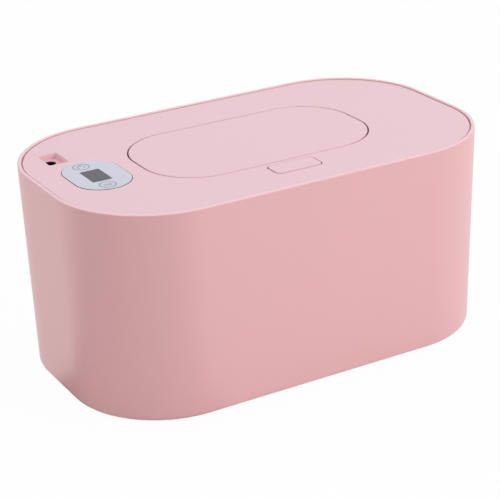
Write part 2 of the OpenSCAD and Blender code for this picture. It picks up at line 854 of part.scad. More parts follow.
module socket_pin() {
    color(silver) translate([bore_x, bore_y, inlet_z - cup_t - socket_h + socket_floor])
        cylinder(h = 6, r = 0.95);
}

// ---- Latch, springs and hinge pin ----

module latch_hook() {
    nose_z = nose_top - nose_t;
    foot_z = tray_floor;
    tip = flap_front + nose_reach - 0.1;
    color(white) difference() {
        union() {
            along_x(-leaf_half, leaf_half) polygon([[leaf_y - leaf_t, nose_z - 3], [leaf_y, nose_z - 3],
                [leaf_y, leaf_top], [leaf_y - leaf_t, leaf_top]]);
            along_x(-foot_half, foot_half)
                polygon([[leaf_y - leaf_t - latch_foot, foot_z], [leaf_y, foot_z], [leaf_y, nose_z],
                    [leaf_y - leaf_t, nose_z], [leaf_y - leaf_t, foot_z + latch_foot_t + 0.8],
                    [leaf_y - leaf_t - 0.8, foot_z + latch_foot_t],
                    [leaf_y - leaf_t - latch_foot, foot_z + latch_foot_t]]);
            along_x(-nose_w / 2, nose_w / 2) polygon([[leaf_y - 0.5, nose_z], [tip, nose_z],
                [tip, nose_z + 0.5], [tip - 1.1, nose_top], [leaf_y - 0.5, nose_top]]);
            for (s = [0, 1]) mirror([s, 0, 0])
                along_x(leaf_half - 2.8, leaf_half)
                    polygon([[leaf_y - 0.5, nose_top - 0.4], [leaf_y + ramp, nose_top - 0.4],
                        [leaf_y + ramp, nose_top], [leaf_y, leaf_top], [leaf_y - 0.5, leaf_top]]);
        }
        for (s = [-1, 1])
            translate([s * peg_x, peg_y, foot_z - 1]) cylinder(h = latch_foot_t + 2, r = 1.05);
    }
}

module button_springs() {
    color(steel) for (s = [-1, 1]) translate([s * spring_x, spring_y, 0])
        coil(spring_r, spring_wire, tray_floor + 2, cap_under - tray_floor - 2, 7);
}

module hinge_pin() {
    half = lug_x + lug_w + 0.5;
    color(steel) translate([-half, hinge_y, hinge_z]) rotate([0, 90, 0]) cylinder(h = 2 * half, r = pin_r);
}

// Coil round the pin, one leg under the flap's cross bar, the other down to the tray
module flap_spring() {
    wire_r = 0.3;
    r = pin_r + wire_r + 0.15;
    turns = 8;
    steps = 12;
    half = 4;
    reach = arm_out - 0.5;
    first = [for (y = [reach, reach / 2]) [-half, hinge_y - y, hinge_z - r]];
    round = [
        for (i = [0:turns * steps + steps / 4])
            let (a = -90 + 360 * i / steps)
                [-half + 2 * half * i / (turns * steps), hinge_y + r * cos(a), hinge_z + r * sin(a)]
    ];
    last = [for (z = [2, hinge_z - tray_floor - fit - wire_r])
        [half + half / 16, hinge_y + r, hinge_z - z]];
    color(steel) wire(concat(first, round, last), wire_r, 6, [1, 0, 0]);
}

// ---- Flap ----

module flap_section() {
    r = flap_r;
    edge = 0.35;
    polygon([[0, lid_z - flap_t], [r - flap_lean, lid_z - flap_t], [r, lid_z - edge], [r - edge, lid_z],
        [0, lid_z]]);
    translate([r - edge, lid_z - edge]) circle(edge);
}

module gooseneck_section() {
    join = lid_z - flap_t + 0.4 - hinge_z;
    translate([hinge_y, hinge_z]) {
        difference() {
            circle(arm_out);
            circle(arm_in);
            translate([-hub_r + 0.6, -2 * arm_out]) square([2 * arm_out, 4 * arm_out]);
            translate([-2 * arm_out, join]) square([4 * arm_out, 2 * arm_out]);
        }
        intersection() {
            circle(arm_out);
            polygon([[-hub_r + 0.5, -arm_out], [hub_r - 0.2, -arm_out], [hub_r - 0.2, 0], [-hub_r + 0.3, 0]]);
        }
        circle(hub_r);
    }
}

module catch_section() {
    tip = flap_front - 0.15;
    back = flap_front + nose_reach + 0.5;
    polygon([[back, lid_z - flap_t + 0.3], [back, catch_top], [tip, catch_top], [tip, catch_top - 0.5],
        [back, catch_top - catch_t], [back + 1.6, catch_top - catch_t], [back + 1.6, lid_z - flap_t + 0.3]]);
}

module flap() {
    under = lid_z - flap_t;
    color(pink_top) difference() {
        union() {
            translate([0, flap_y, 0]) {
                round_sweep(flap_l / 2 - flap_r, flap_w / 2 - flap_r) flap_section();
                translate([flap_r - flap_l / 2, flap_r - flap_w / 2, under])
                    cube([flap_l - 2 * flap_r, flap_w - 2 * flap_r, flap_t]);
            }
            translate([0, 0, under - 1.4]) linear_extrude(1.6) difference() {
                flap_outline(-2);
                flap_outline(-3.4);
            }
            translate([0, 0, collar_z + seal_foot + 0.2])
                linear_extrude(under - collar_z - seal_foot) difference() {
                    outlet_outline(-seal_mid + lip_far);
                    outlet_outline(-seal_mid + lip_near);
                }
            translate([0, 0, collar_z + seal_foot + 0.2])
                linear_extrude(under - collar_z - seal_foot) difference() {
                    outlet_outline(-seal_mid - lip_near);
                    outlet_outline(-seal_mid - lip_far);
                }
            for (s = [0, 1]) mirror([s, 0, 0]) along_x(arm_x, arm_x + arm_w) gooseneck_section();
            along_x(-arm_x - 0.5, arm_x + 0.5)
                translate([hinge_y - arm_out + 0.1, hinge_z - 0.9]) square([arm_t - 0.15, 1.8]);
            along_x(-nose_w / 2, nose_w / 2) catch_section();
        }
        translate([-lug_x, hinge_y, hinge_z]) rotate([0, 90, 0])
            cylinder(h = 2 * lug_x, r = pin_r + 0.06);
    }
}

module flap_seal() {
    under = lid_z - flap_t;
    color(silicone) {
        translate([0, 0, collar_z]) linear_extrude(seal_foot) difference() {
            outlet_outline(-seal_mid + 2);
            outlet_outline(-seal_mid - 2);
        }
        translate([0, 0, collar_z + seal_foot - 0.5])
            linear_extrude(under - collar_z - seal_foot + 0.5) difference() {
                outlet_outline(-seal_mid + 1);
                outlet_outline(-seal_mid - 1);
            }
    }
}

module flap_foam() {
    under = lid_z - flap_t;
    color(white) translate([0, 0, under - foam_t]) linear_extrude(foam_t)
        outlet_outline(-seal_mid - lip_far - foam_gap);
}

module release_button() {
    guide_z = cap_under - 2.4;
    edge = 0.4;
    color(pink_top) {
        difference() {
            translate([0, button_y, 0]) {
                round_sweep(button_l / 2 - button_r, button_w / 2 - button_r) {
                    translate([0, cap_under]) square([button_r, button_z - cap_under - edge]);
                    translate([0, cap_under]) square([button_r - edge, button_z - cap_under]);
                    translate([button_r - edge, button_z - edge]) circle(edge);
                }
                translate([button_r - button_l / 2, button_r - button_w / 2, cap_under])
                    cube([button_l - 2 * button_r, button_w - 2 * button_r, button_z - cap_under]);
                slab(button_l / 2, button_w / 2, button_r, guide_z, cap_under + 0.5);
            }
            translate([0, button_y, 0])
                slab(button_l / 2 - 1.3, button_w / 2 - 1.3, button_r - 1.3, guide_z - 1, cap_under);
            translate([-leaf_half - 1.4, button_y, guide_z - 1])
                cube([2 * leaf_half + 2.8, button_w, cap_under - guide_z + 1]);
        }
        for (s = [0, 1]) mirror([s, 0, 0]) {
            along_x(button_l / 2 - 0.5, button_l / 2 + 1.1)
                polygon([[button_y - 2.5, guide_z], [button_y + 2.5, guide_z],
                    [button_y + 2.5, lid_under - 0.2], [button_y - 2.5, lid_under - 0.2]]);
            along_x(leaf_half - 2.6, leaf_half - 0.2)
                polygon([[leaf_y + 0.1, leaf_top + fit], [leaf_y + ramp, nose_top + fit + 0.1],
                    [leaf_y + ramp, cap_under + 0.5], [leaf_y + 0.1, cap_under + 0.5]]);
        }
    }
}

tub();
inner_liner();
foot_pads();
base_screws();
lid_top();
inlet_floor();
lid_base();
lid_seal();
lid_screws();
insulation_pad();
heating_film();
heater_plate();
plate_screws();
thermistor();
thermal_fuse();
heater_leads();
outlet_gasket();
main_board();
board_parts();
board_screws();
display_module();
touch_springs();
control_panel();
display_window();
power_socket();
socket_pin();
latch_hook();
button_springs();
hinge_pin();
flap_spring();
flap();
flap_seal();
flap_foam();
release_button();
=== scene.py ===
"""Baby wipe warmer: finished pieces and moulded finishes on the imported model."""

import math

import bmesh
import bpy
from mathutils import Matrix, Vector


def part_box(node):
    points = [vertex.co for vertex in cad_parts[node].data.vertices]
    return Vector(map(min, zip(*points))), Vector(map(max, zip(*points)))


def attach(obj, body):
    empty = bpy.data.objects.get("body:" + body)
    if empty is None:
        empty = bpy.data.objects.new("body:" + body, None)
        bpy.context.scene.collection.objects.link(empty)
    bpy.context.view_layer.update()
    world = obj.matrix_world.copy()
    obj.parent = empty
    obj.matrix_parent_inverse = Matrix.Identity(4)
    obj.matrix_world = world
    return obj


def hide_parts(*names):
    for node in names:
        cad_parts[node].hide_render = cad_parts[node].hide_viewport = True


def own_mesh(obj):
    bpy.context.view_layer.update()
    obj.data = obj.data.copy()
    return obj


bl_info = {
    "name": "Baby wipe warmer",
    "version": (1, 0, 0),
    "blender": (4, 5, 0),
    "location": "3D View > Sidebar > Wipe warmer",
    "description": "Builds the visible pieces of a baby wipe warmer on its packed model",
    "category": "Object",
}

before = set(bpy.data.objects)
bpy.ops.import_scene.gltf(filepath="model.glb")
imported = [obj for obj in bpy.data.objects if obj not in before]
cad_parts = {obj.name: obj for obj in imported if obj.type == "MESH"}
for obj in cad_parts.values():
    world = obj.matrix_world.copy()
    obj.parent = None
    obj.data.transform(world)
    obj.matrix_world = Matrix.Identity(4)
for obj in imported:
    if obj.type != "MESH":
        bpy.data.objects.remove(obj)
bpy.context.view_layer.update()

MM = 0.001
TURN = 2 * math.pi
FINISH = "_finish"
SOCKETS = {
    "metallic": "Metallic",
    "coat": "Coat Weight",
    "coat_rough": "Coat Roughness",
    "specular": "Specular IOR Level",
}


# ---- Settings that a user would change ----


def length(name, mm, note):
    return bpy.props.FloatProperty(
        name=name, description=note, default=mm * MM, unit="LENGTH", precision=5
    )


def colour(name, rgb, note):
    return bpy.props.FloatVectorProperty(
        name=name, description=note, default=rgb, subtype="COLOR", min=0, max=1
    )


def amount(name, value, note):
    return bpy.props.FloatProperty(name=name, description=note, default=value)


class WarmerSizes(bpy.types.PropertyGroup):
    """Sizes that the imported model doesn't give"""

    corner: length("Corner radius", 47, "Corner radius of the shell at its rim")
    draft: bpy.props.FloatProperty(
        name="Draft",
        description="Lean of the shell's walls",
        default=math.radians(1.3),
        subtype="ANGLE",
    )
    wall: length("Wall", 2.4, "Wall thickness of the shell")
    floor_thick: length("Floor", 2.4, "Thickness of the shell's floor")
    foot_drop: length("Foot drop", 0.8, "Height of the shell's floor over the table")
    bottom_round: length("Bottom edge", 2.2, "Radius of the shell's bottom edge")
    rim_round: length("Rim edge", 0.75, "Radius of the rim's outer edge")
    rim_inner: length("Inner rim edge", 0.55, "Radius of the rim's inner edge")
    rim_rebate: length("Rim rebate", 0.5, "How much thinner the shell is round the lid")
    liner_gap: length("Liner gap", 3.2, "Air gap between the shell and the liner")
    liner_wall: length("Liner wall", 1.5, "Wall thickness of the liner")
    liner_floor: length("Liner floor", 12, "Height of the liner's floor over the table")
    liner_flange: length("Liner flange", 1.6, "Thickness of the liner's flange")
    lid_drop: length("Lid drop", 0.5, "Depth of the lid's face below the rim")
    lid_thick: length("Lid thickness", 2.2, "Thickness of the lid's plate")
    lid_edge: length("Lid edge", 0.3, "Radius of the lid's outer edge")
    lid_skirt: length("Lid skirt", 2.3, "Thickness of the skirt under the lid's edge")
    lid_groove: length("Lid groove", 0.8, "Depth of the groove over the lid's guide rib")
    lid_rib: length("Lid rib", 0.28, "How far the guide rib round the lid stands out")
    flap_length: length("Flap length", 113, "Length of the dispensing flap")
    flap_width: length("Flap width", 63, "Width of the dispensing flap")
    flap_corner: length("Flap corner", 26, "Corner radius of the flap")
    flap_gap: length("Flap gap", 0.5, "Gap between the flap and the lid")
    button_length: length("Button length", 23, "Length of the release button")
    button_width: length("Button width", 10.6, "Width of the release button")
    button_corner: length("Button corner", 2.4, "Corner radius of the release button")
    button_back: length("Button set back", 3.4, "Distance between the button and the flap")
    button_gap: length("Button gap", 0.55, "Gap between the button and the lid")
    panel_length: length("Panel length", 38, "Length of the control panel")
    panel_width: length("Panel width", 26, "Width of the control panel")
    window_corner: length("Window corner", 0.54, "Corner radius of the display window")
    window_ledge: length("Window ledge", 0.54, "Width of the ledge under the window's edge")
    recess_length: length("Recess length", 14.4, "Length of the power inlet's recess")
    recess_width: length("Recess width", 9, "Width of the power inlet's recess")
    recess_corner: length("Recess corner", 0.8, "Corner radius of the recess")
    recess_depth: length("Recess depth", 2.8, "Depth of the recess")
    recess_wall: length("Recess wall", 1.4, "Thickness of the recess's walls and floor")
    bore_left: length("Bore offset", 0.5, "Distance of the bore left of the recess's middle")
    bore_back: length("Bore set back", 2.4, "Distance of the bore behind the recess's middle")
    bore_radius: length("Bore radius", 2.85, "Radius of the power inlet's bore")
    key_radius: length("Key ring", 3.85, "Outer radius of the ring printed round a key")
    print_line: length("Print line", 0.42, "Width of a printed line")
    grain: length("Grain", 0.35, "Size of the moulded texture's grain")
    thread_pitch: length("Thread pitch", 1, "Pitch of the screws' threads")


class WarmerColours(bpy.types.PropertyGroup):
    """Colours of the plastics, rubbers, metals and prints, and painted highlight, shade and light
    on the shell, lid and flap
    """

    shell: colour("Shell", (0.80, 0.443, 0.458), "Pink of the outer shell")
    # Painted highlight: a paler, whiter pink on the rim's top edge that stands in for the light
    # it catches.
    rim: colour("Rim", (0.83, 0.56, 0.61), "Paler pink of the shell's rim")
    # Painted shade: a deeper pink on the walls down in each gap that stands in for the shade
    # there.
    gaps_with_painted_shade: colour("Gaps", (0.80, 0.36, 0.42), "Deeper pink of the walls in the gaps")
    # Painted light: a lighter pink on the recess's walls that stands in for the light on them.
    recess: colour("Recess", (1.0, 0.62, 0.68), "Pink of the walls of the power inlet's recess")
    lid: colour("Lid", (0.785, 0.532, 0.59), "Paler pink of the lid, flap and button")
    liner: colour("Liner", (0.86, 0.85, 0.82), "White of the liner")
    tray: colour("Tray", (0.78, 0.50, 0.545), "Pink of the lid's tray")
    latch: colour("Latch", (0.84, 0.83, 0.80), "White of the latch")
    silicone: colour("Silicone", (0.78, 0.77, 0.74), "Translucent white of the seals")
    foam: colour("Foam", (0.85, 0.85, 0.83), "White of the foam pads")
    rubber: colour("Feet", (0.42, 0.40, 0.40), "Grey of the foot pads")
    panel: colour("Panel", (0.54, 0.56, 0.665), "Pale blue grey of the control panel")
    # Partly painted shade: the dark grey of the panel's sides is its edge print and also the
    # shade of the gap round it.
    panel_edge_print_and_shade: colour("Panel edge", (0.07, 0.06, 0.07), "Dark grey of the panel's edge")
    printed: colour("Print", (0.10, 0.10, 0.14), "Grey of the panel's printed rings")
    window: colour("Window", (0.012, 0.010, 0.034), "Smoked grey of the display window")
    black: colour("Black parts", (0.009, 0.004, 0.0045), "Black of the socket and electronics")
    board: colour("Board", (0.02, 0.12, 0.06), "Green of the circuit board")
    steel: colour("Steel", (0.56, 0.57, 0.58), "Steel of the screws, pin and springs")
    brass: colour("Brass", (0.78, 0.68, 0.46), "Nickel brass of the socket's pin")
    aluminium: colour("Aluminium", (0.70, 0.71, 0.72), "Brushed sheet of the heater plate")
    film: colour("Film", (0.46, 0.19, 0.04), "Amber of the heating film")
    copper: colour("Copper", (0.55, 0.26, 0.13), "Copper of the heating film's track")


class WarmerStudio(bpy.types.PropertyGroup):
    """Light and background"""

    sky: amount("Sky", 0.70, "Strength of the even white light")
    key: amount("Key lamp", 6.0, "Power of the soft lamp at the front right, in watts")
    top: amount("Top lamp", 4.0, "Power of the soft lamp overhead, in watts")
    floor_glow: amount("Floor white", 0.96, "Share of plain white in the floor as it is seen")
    dusk: amount("Dark side", 0.97, "How much darker reflections of the studio's front left are")


# ---- Node trees written as expressions ----


def plug(tree, slot, value):
    if isinstance(value, Wire):
        tree.links.new(value.socket, slot)
    else:
        slot.default_value = value


def add_node(tree, kind, settings=None, values=None, out=0):
    """Adds a node, sets it, plugs its inputs and returns one of its outputs."""
    node = tree.nodes.new(kind)
    for key, value in (settings or {}).items():
        setattr(node, key, value)
    for key, value in (values or {}).items():
        plug(tree, node.inputs[key], value)
    return Wire(tree, node.outputs[out])


def parts_of(tree, vector):
    """The three parts of a vector."""
    x = add_node(tree, "ShaderNodeSeparateXYZ", values={0: vector})
    return x, x.beside(1), x.beside(2)


def math_method(operation, swapped=False):
    """A method of Wire that adds a Math node."""

    def method(self, *others):
        values = (*others, self) if swapped else (self, *others)
        return self.math(operation, *values)

    return method


class Wire:
    """An output of a node. Arithmetic on it adds Math nodes to its tree."""

    def __init__(self, tree, socket):
        self.tree, self.socket = tree, socket

    def beside(self, out):
        """Another output of the same node."""
        return Wire(self.tree, self.socket.node.outputs[out])

    def math(self, operation, *values):
        return add_node(
            self.tree, "ShaderNodeMath", {"operation": operation}, dict(enumerate(values))
        )

    __add__ = __radd__ = math_method("ADD")
    __mul__ = __rmul__ = math_method("MULTIPLY")
    __sub__ = math_method("SUBTRACT")
    __rsub__ = math_method("SUBTRACT", swapped=True)
    __truediv__ = math_method("DIVIDE")
    __rtruediv__ = math_method("DIVIDE", swapped=True)
    __mod__ = math_method("FLOORED_MODULO")
    __lt__ = math_method("LESS_THAN")
    __gt__ = math_method("GREATER_THAN")
    floor = math_method("FLOOR")
    sign = math_method("SIGN")
    size = math_method("ABSOLUTE")
    sine = math_method("SINE")
    cosine = math_method("COSINE")

    def over(self, least):
        """How far it lies over a value, or 0."""
        return self.math("MAXIMUM", self - least, 0.0)

    def clamped(self):
        return self.math("MINIMUM", self.math("MAXIMUM", self, 0.0), 1.0)

    def blend(self, low, high):
        """Smoothly from 0 at low to 1 at high."""
        return add_node(
            self.tree,
            "ShaderNodeMapRange",
            {"interpolation_type": "SMOOTHSTEP"},
            {"Value": self, "From Min": low, "From Max": high},
        )


class Finish:
    """A procedural material: Principled BSDF with patterns on Object coordinates."""

    def __init__(self, name, base, rough, **fixed):
        material = bpy.data.materials.new(name + FINISH)
        material.use_nodes = True
        self.tree = material.node_tree
        self.shader = self.tree.nodes["Principled BSDF"]
        self.base = (*base, 1.0)
        self.place = self.add("ShaderNodeTexCoord", out="Object")
        self.feed("Base Color", self.base)
        self.feed("Roughness", rough)
        for socket, value in fixed.items():
            self.feed(SOCKETS[socket], value)

    def add(self, kind, settings=None, values=None, out=0):
        return add_node(self.tree, kind, settings, values, out)

    def feed(self, socket, value):
        plug(self.tree, self.shader.inputs[socket], value)

    def noise(self, grain, stretch=(1, 1, 1), detail=2.0, rough=0.5):
        """Noise whose grains are about that size, in metres."""
        place = self.add("ShaderNodeMapping", values={"Vector": self.place, "Scale": stretch})
        return self.add(
            "ShaderNodeTexNoise",
            values={"Vector": place, "Scale": 1 / grain, "Detail": detail, "Roughness": rough},
        )

    def cells(self, grain, feature="F1"):
        return self.add(
            "ShaderNodeTexVoronoi",
            {"feature": feature},
            {"Vector": self.place, "Scale": 1 / grain},
            "Distance",
        )

    def mix(self, factor, low, high):
        low, high = (x if isinstance(x, Wire) else (*x[:3], 1.0) for x in (low, high))
        return self.add(
            "ShaderNodeMix", {"data_type": "RGBA"}, {"Factor": factor, 6: low, 7: high}, 2
        )

    def shade(self, factor, share):
        """The base colour, varied by that share between dark and light."""
        low = [c * (1 - share) for c in self.base[:3]]
        high = [min(1, c * (1 + share)) for c in self.base[:3]]
        return self.mix(factor, low, high)

    def bump(self, height, depth):
        bump = self.add("ShaderNodeBump", values={"Height": height, "Distance": depth})
        self.feed("Normal", bump)


def moulded(name, base, rough, grain, depth, painted_light_band=None, **fixed):
    """Injection-moulded plastic: fine spark-eroded grain, slight flow and gloss patches.

    The painted_light_band, if any, gives the tint of a painted highlight or painted shade,
    its lowest and highest height, how softly it ends, and the middle and radius of a round
    place with a painted light tint of its own.
    """
    made = Finish(name, base, rough, **fixed)
    flow = made.noise(0.045, (1, 1, 0.35), 3.0)
    skin = made.noise(grain * 2.2, detail=4.0, rough=0.65)
    pits = made.cells(grain, "SMOOTH_F1")
    speck = made.noise(grain * 0.6, detail=1.0)
    pigment_and_painted_light = made.shade(flow * 0.6 + speck * 0.4, 0.022)
    if painted_light_band:
        tint, low, high, soft, (middle_x, middle_y, radius, round_painted_light) = painted_light_band
        # Painted light: a tint over a range of heights, and another tint inside a round place.
        x, y, height = (part / MM for part in parts_of(made.tree, made.place))
        off_x, off_y = x - middle_x, y - middle_y
        near = (off_x * off_x + off_y * off_y) < radius ** 2
        tint = made.mix(near, tint, round_painted_light)
        inside = height.blend(low - soft, low) * (1 - height.blend(high, high + soft))
        pigment_and_painted_light = made.mix(inside, pigment_and_painted_light, tint)
    made.feed("Base Color", pigment_and_painted_light)
    made.feed("Roughness", rough + (skin - 0.5) * 0.10 + (flow - 0.5) * 0.05)
    made.bump(pits * 0.6 + skin * 0.4, depth)


def rubbery(name, base, rough):
    """Silicone or rubber: soft mottling and a fine skin."""
    made = Finish(name, base, rough)
    mottle = made.noise(0.006, detail=4.0)
    skin = made.noise(0.0005, detail=3.0)
    made.feed("Base Color", made.shade(mottle, 0.05))
    made.feed("Roughness", rough + (skin - 0.5) * 0.16 + (mottle - 0.5) * 0.08)
    made.bump(skin * 0.6 + mottle * 0.4, 0.00003)


def foamed(name, base):
    """Closed-cell foam: packed cells with darker walls between them."""
    made = Finish(name, base, 0.9)
    cell = made.cells(0.0011)
    fine = made.cells(0.0005)
    walls = [c * 0.93 for c in base]
    made.feed("Base Color", made.mix(cell.blend(0.25, 0.75), base, walls))
    made.feed("Roughness", 0.86 + fine * 0.1)
    made.bump(1 - cell * 0.7 - fine * 0.3, 0.00006)


def metallic(name, base, rough, stretch, depth):
    """Drawn or brushed metal: fine lines along one axis, with duller patches."""
    made = Finish(name, base, rough, metallic=1.0)
    lines = made.noise(0.0005, stretch, 4.0, 0.7)
    patch = made.noise(0.012, detail=3.0)
    made.feed("Base Color", made.shade(lines * 0.5 + patch * 0.5, 0.08))
    made.feed("Roughness", rough + (lines - 0.5) * 0.22 + (patch - 0.5) * 0.12)
    made.bump(lines, depth)


def heating_print(name, base, metal):
    """Amber film with the copper track printed in it, folded back and forth."""
    pitch, track_share, half_x, half_y = 0.0052, 0.58, 0.086, 0.049
    made = Finish(name, base, 0.28, coat=0.3)
    x, y, _ = parts_of(made.tree, made.place)
    track = ((x / pitch) % 1.0 - 0.5).size() < track_share / 2
    inside = (y.size() < half_y) * (x.size() < half_x)
    copper = (track * inside).clamped()
    cloud = made.noise(0.01, detail=3.0)
    made.feed("Base Color", made.mix(copper * 0.75, made.shade(cloud, 0.12), metal))
    made.feed("Roughness", 0.22 + copper * 0.18 + cloud * 0.1)
    made.bump(copper, 0.00004)


def circuit(name, base):
    """Green solder mask over copper tracks, with the glass cloth showing faintly."""
    made = Finish(name, base, 0.3, coat=0.4)
    tracks = made.add(
        "ShaderNodeTexBrick",
        {"offset": 0.37, "offset_frequency": 3},
        {"Vector": made.place, "Scale": 260.0, "Mortar Size": 0.035, "Mortar Smooth": 0.1},
        "Fac",
    )
    cloth = made.add(
        "ShaderNodeTexChecker", values={"Vector": made.place, "Scale": 2600.0}, out="Fac"
    )
    light = [min(1, c * 1.9 + 0.01) for c in base]
    made.feed("Base Color", made.mix(tracks * 0.8 + cloth * 0.08, base, light))
    made.feed("Roughness", 0.24 + tracks * 0.12 + made.noise(0.004) * 0.08)
    made.bump(tracks, 0.00002)


def back_printed(name, base, rough, depth_share, coat=0.5, edge=None):
    """Clear plate printed on its back: glossy, with fine speckle in the ink.

    The edge, if any, gives the height that the plate's face lies over and the dark tint of the
    sides under it: partly edge print, partly painted shade of the gap round the plate.
    """
    made = Finish(name, base, rough, coat=coat, coat_rough=0.08)
    speckle = made.noise(0.0003, detail=1.0)
    cloud = made.noise(0.009, detail=2.0)
    depth_tint = [c * depth_share for c in base]
    ink = made.mix(speckle * 0.35 + cloud * 0.3, base, depth_tint)
    if edge:
        face, tint = edge
        height = parts_of(made.tree, made.place)[2]
        # Partly painted shade: the sides under the face take the dark tint, an edge print that
        # also stands in for the gap's shade.
        ink = made.mix(height < face * MM, ink, tint)
    made.feed("Base Color", ink)
    made.feed("Roughness", rough + (cloud - 0.5) * 0.05 + (speckle - 0.5) * 0.03)
    made.bump(made.noise(0.02, detail=1.0), 0.00001)


def make_finishes(c, p):
    """All the finishes, by the record's slot or by their own name."""
    grain = p.grain * MM
    # Painted highlight: the shell's rim edge takes a paler, whiter pink that stands in for the
    # light it catches.
    rim = (c.rim, p.rim - 0.12, p.rim + 1, 0.35, (0, 0, 0, c.rim))
    # Painted light: near the inlet's recess its walls take a lighter pink that stands in for the
    # light on them.
    recess_painted_light = (*p.recess[:2], 9.0, c.recess)
    # Painted shade: the walls down in each gap round the flap, button and panel take a deeper
    # pink that stands in for the shade there.
    gaps_with_painted_shade = (c.gaps_with_painted_shade, p.lid_z - 2.1, p.lid_z - 0.5, 0.15, recess_painted_light)
    moulded("shell_plastic", c.shell, 0.36, grain, 0.000012, rim, specular=0.65)
    moulded("lid_plastic", c.lid, 0.40, grain, 0.000012, gaps_with_painted_shade)
    moulded("flap_plastic", c.lid, 0.40, grain, 0.000012, gaps_with_painted_shade)
    moulded("liner_plastic", c.liner, 0.26, grain * 2, 0.00001)
    moulded("tray_plastic", c.tray, 0.42, grain, 0.00002)
    moulded("latch_plastic", c.latch, 0.34, grain, 0.00001)
    moulded("black_parts", c.black, 0.50, grain, 0.00003, specular=0.08)
    rubbery("lead_insulation", c.black, 0.42)
    rubbery("silicone", c.silicone, 0.46)
    rubbery("foot_rubber", c.rubber, 0.74)
    foamed("foam", c.foam)
    metallic("screw_steel", c.steel, 0.34, (1, 1, 6), 0.00001)
    metallic("spring_steel", c.steel, 0.28, (0.1, 4, 4), 0.000006)
    metallic("fuse_metal", c.steel, 0.38, (0.1, 4, 4), 0.00001)
    metallic("pin_brass", c.brass, 0.26, (4, 4, 0.3), 0.000006)
    metallic("heater_aluminium", c.aluminium, 0.36, (0.03, 4, 4), 0.00001)
    heating_print("heater_film", c.film, c.copper)
    circuit("circuit_board", c.board)
    back_printed("panel_acrylic", c.panel, 0.22, 0.93, edge=(p.panel_z - 0.04, c.panel_edge_print_and_shade))
    back_printed("smoked_window", c.window, 0.16, 0.8, coat=0.0)
    back_printed("panel_print", c.printed, 0.3, 0.9)


# ---- Outlines and sections, in millimetres ----
# An outline is a rounded rectangle: (x, y, half x, half y, corner radius).


def widened(outline, by):
    x, y, half_x, half_y, radius = outline
    return x, y, half_x + by, half_y + by, radius + by


def disc(middle, radius):
    return (*middle, radius, radius, radius)


def arc(middle, radius, start, end, steps):
    """Points round a middle between two angles, in degrees."""
    angles = (math.radians(start + (end - start) * k / steps) for k in range(steps + 1))
    return [
        (middle[0] + radius * math.cos(a), middle[1] + radius * math.sin(a)) for a in angles
    ]


def filleted(corners, steps, support=0.12):
    """A [distance, height] line with each corner (x, y, radius) rounded.

    A point on each side of a rounding keeps the flat stretches flat in smooth shading.
    """
    line = []
    for i, (x, y, radius) in enumerate(corners):
        here = Vector((x, y))
        if not radius or i in (0, len(corners) - 1):
            line.append(here)
            continue
        back = (Vector(corners[i - 1][:2]) - here).normalized()
        on = (Vector(corners[i + 1][:2]) - here).normalized()
        half = back.angle(on) / 2
        reach = radius / math.tan(half)
        middle = here + (back + on).normalized() * (radius / math.sin(half))
        first, last = here + back * reach, here + on * reach
        start, sweep = first - middle, (first - middle).angle_signed(last - middle)
        line.append(first + back * support)
        for k in range(steps + 1):
            line.append(middle + Matrix.Rotation(-sweep * k / steps, 2) @ start)
        line.append(last + on * support)
    return [(p.x, p.y) for p in line]


def rounded_loop(outline, offset, steps):
    """Points round an outline, offset outwards."""
    x, y, half_x, half_y, radius = outline
    loop = []
    for corner in range(4):
        cx = x + (half_x - radius) * (1 if corner in (0, 3) else -1)
        cy = y + (half_y - radius) * (1 if corner in (0, 1) else -1)
        start = corner * 90
        loop += arc((cx, cy), radius + offset, start, start + 90, steps)
    return loop


# ---- Shapes, in millimetres until they are finished ----


def weld(mesh, near, thin=None):
    """Merges the vertices that lie that near, and drops what has no area after that."""
    bmesh.ops.remove_doubles(mesh, verts=mesh.verts, dist=near)
    bmesh.ops.dissolve_degenerate(mesh, edges=mesh.edges, dist=thin or near)


def opened(data):
    """A mesh in the making that starts as a copy of that one."""
    mesh = bmesh.new()
    mesh.from_mesh(data)
    return mesh


def add_object(name, data):
    made = bpy.data.objects.new(name, data)
    bpy.context.scene.collection.objects.link(made)
    return made


def mesh_object(name, mesh):
    """Ends a mesh in the making as an object."""
    data = bpy.data.meshes.new(name)
    mesh.to_mesh(data)
    mesh.free()
    return add_object(name, data)


def evaluated_mesh(made):
    """The mesh that an object's modifiers make."""
    bpy.context.view_layer.update()
    result = made.evaluated_get(bpy.context.evaluated_depsgraph_get())
    return bpy.data.meshes.new_from_object(result)


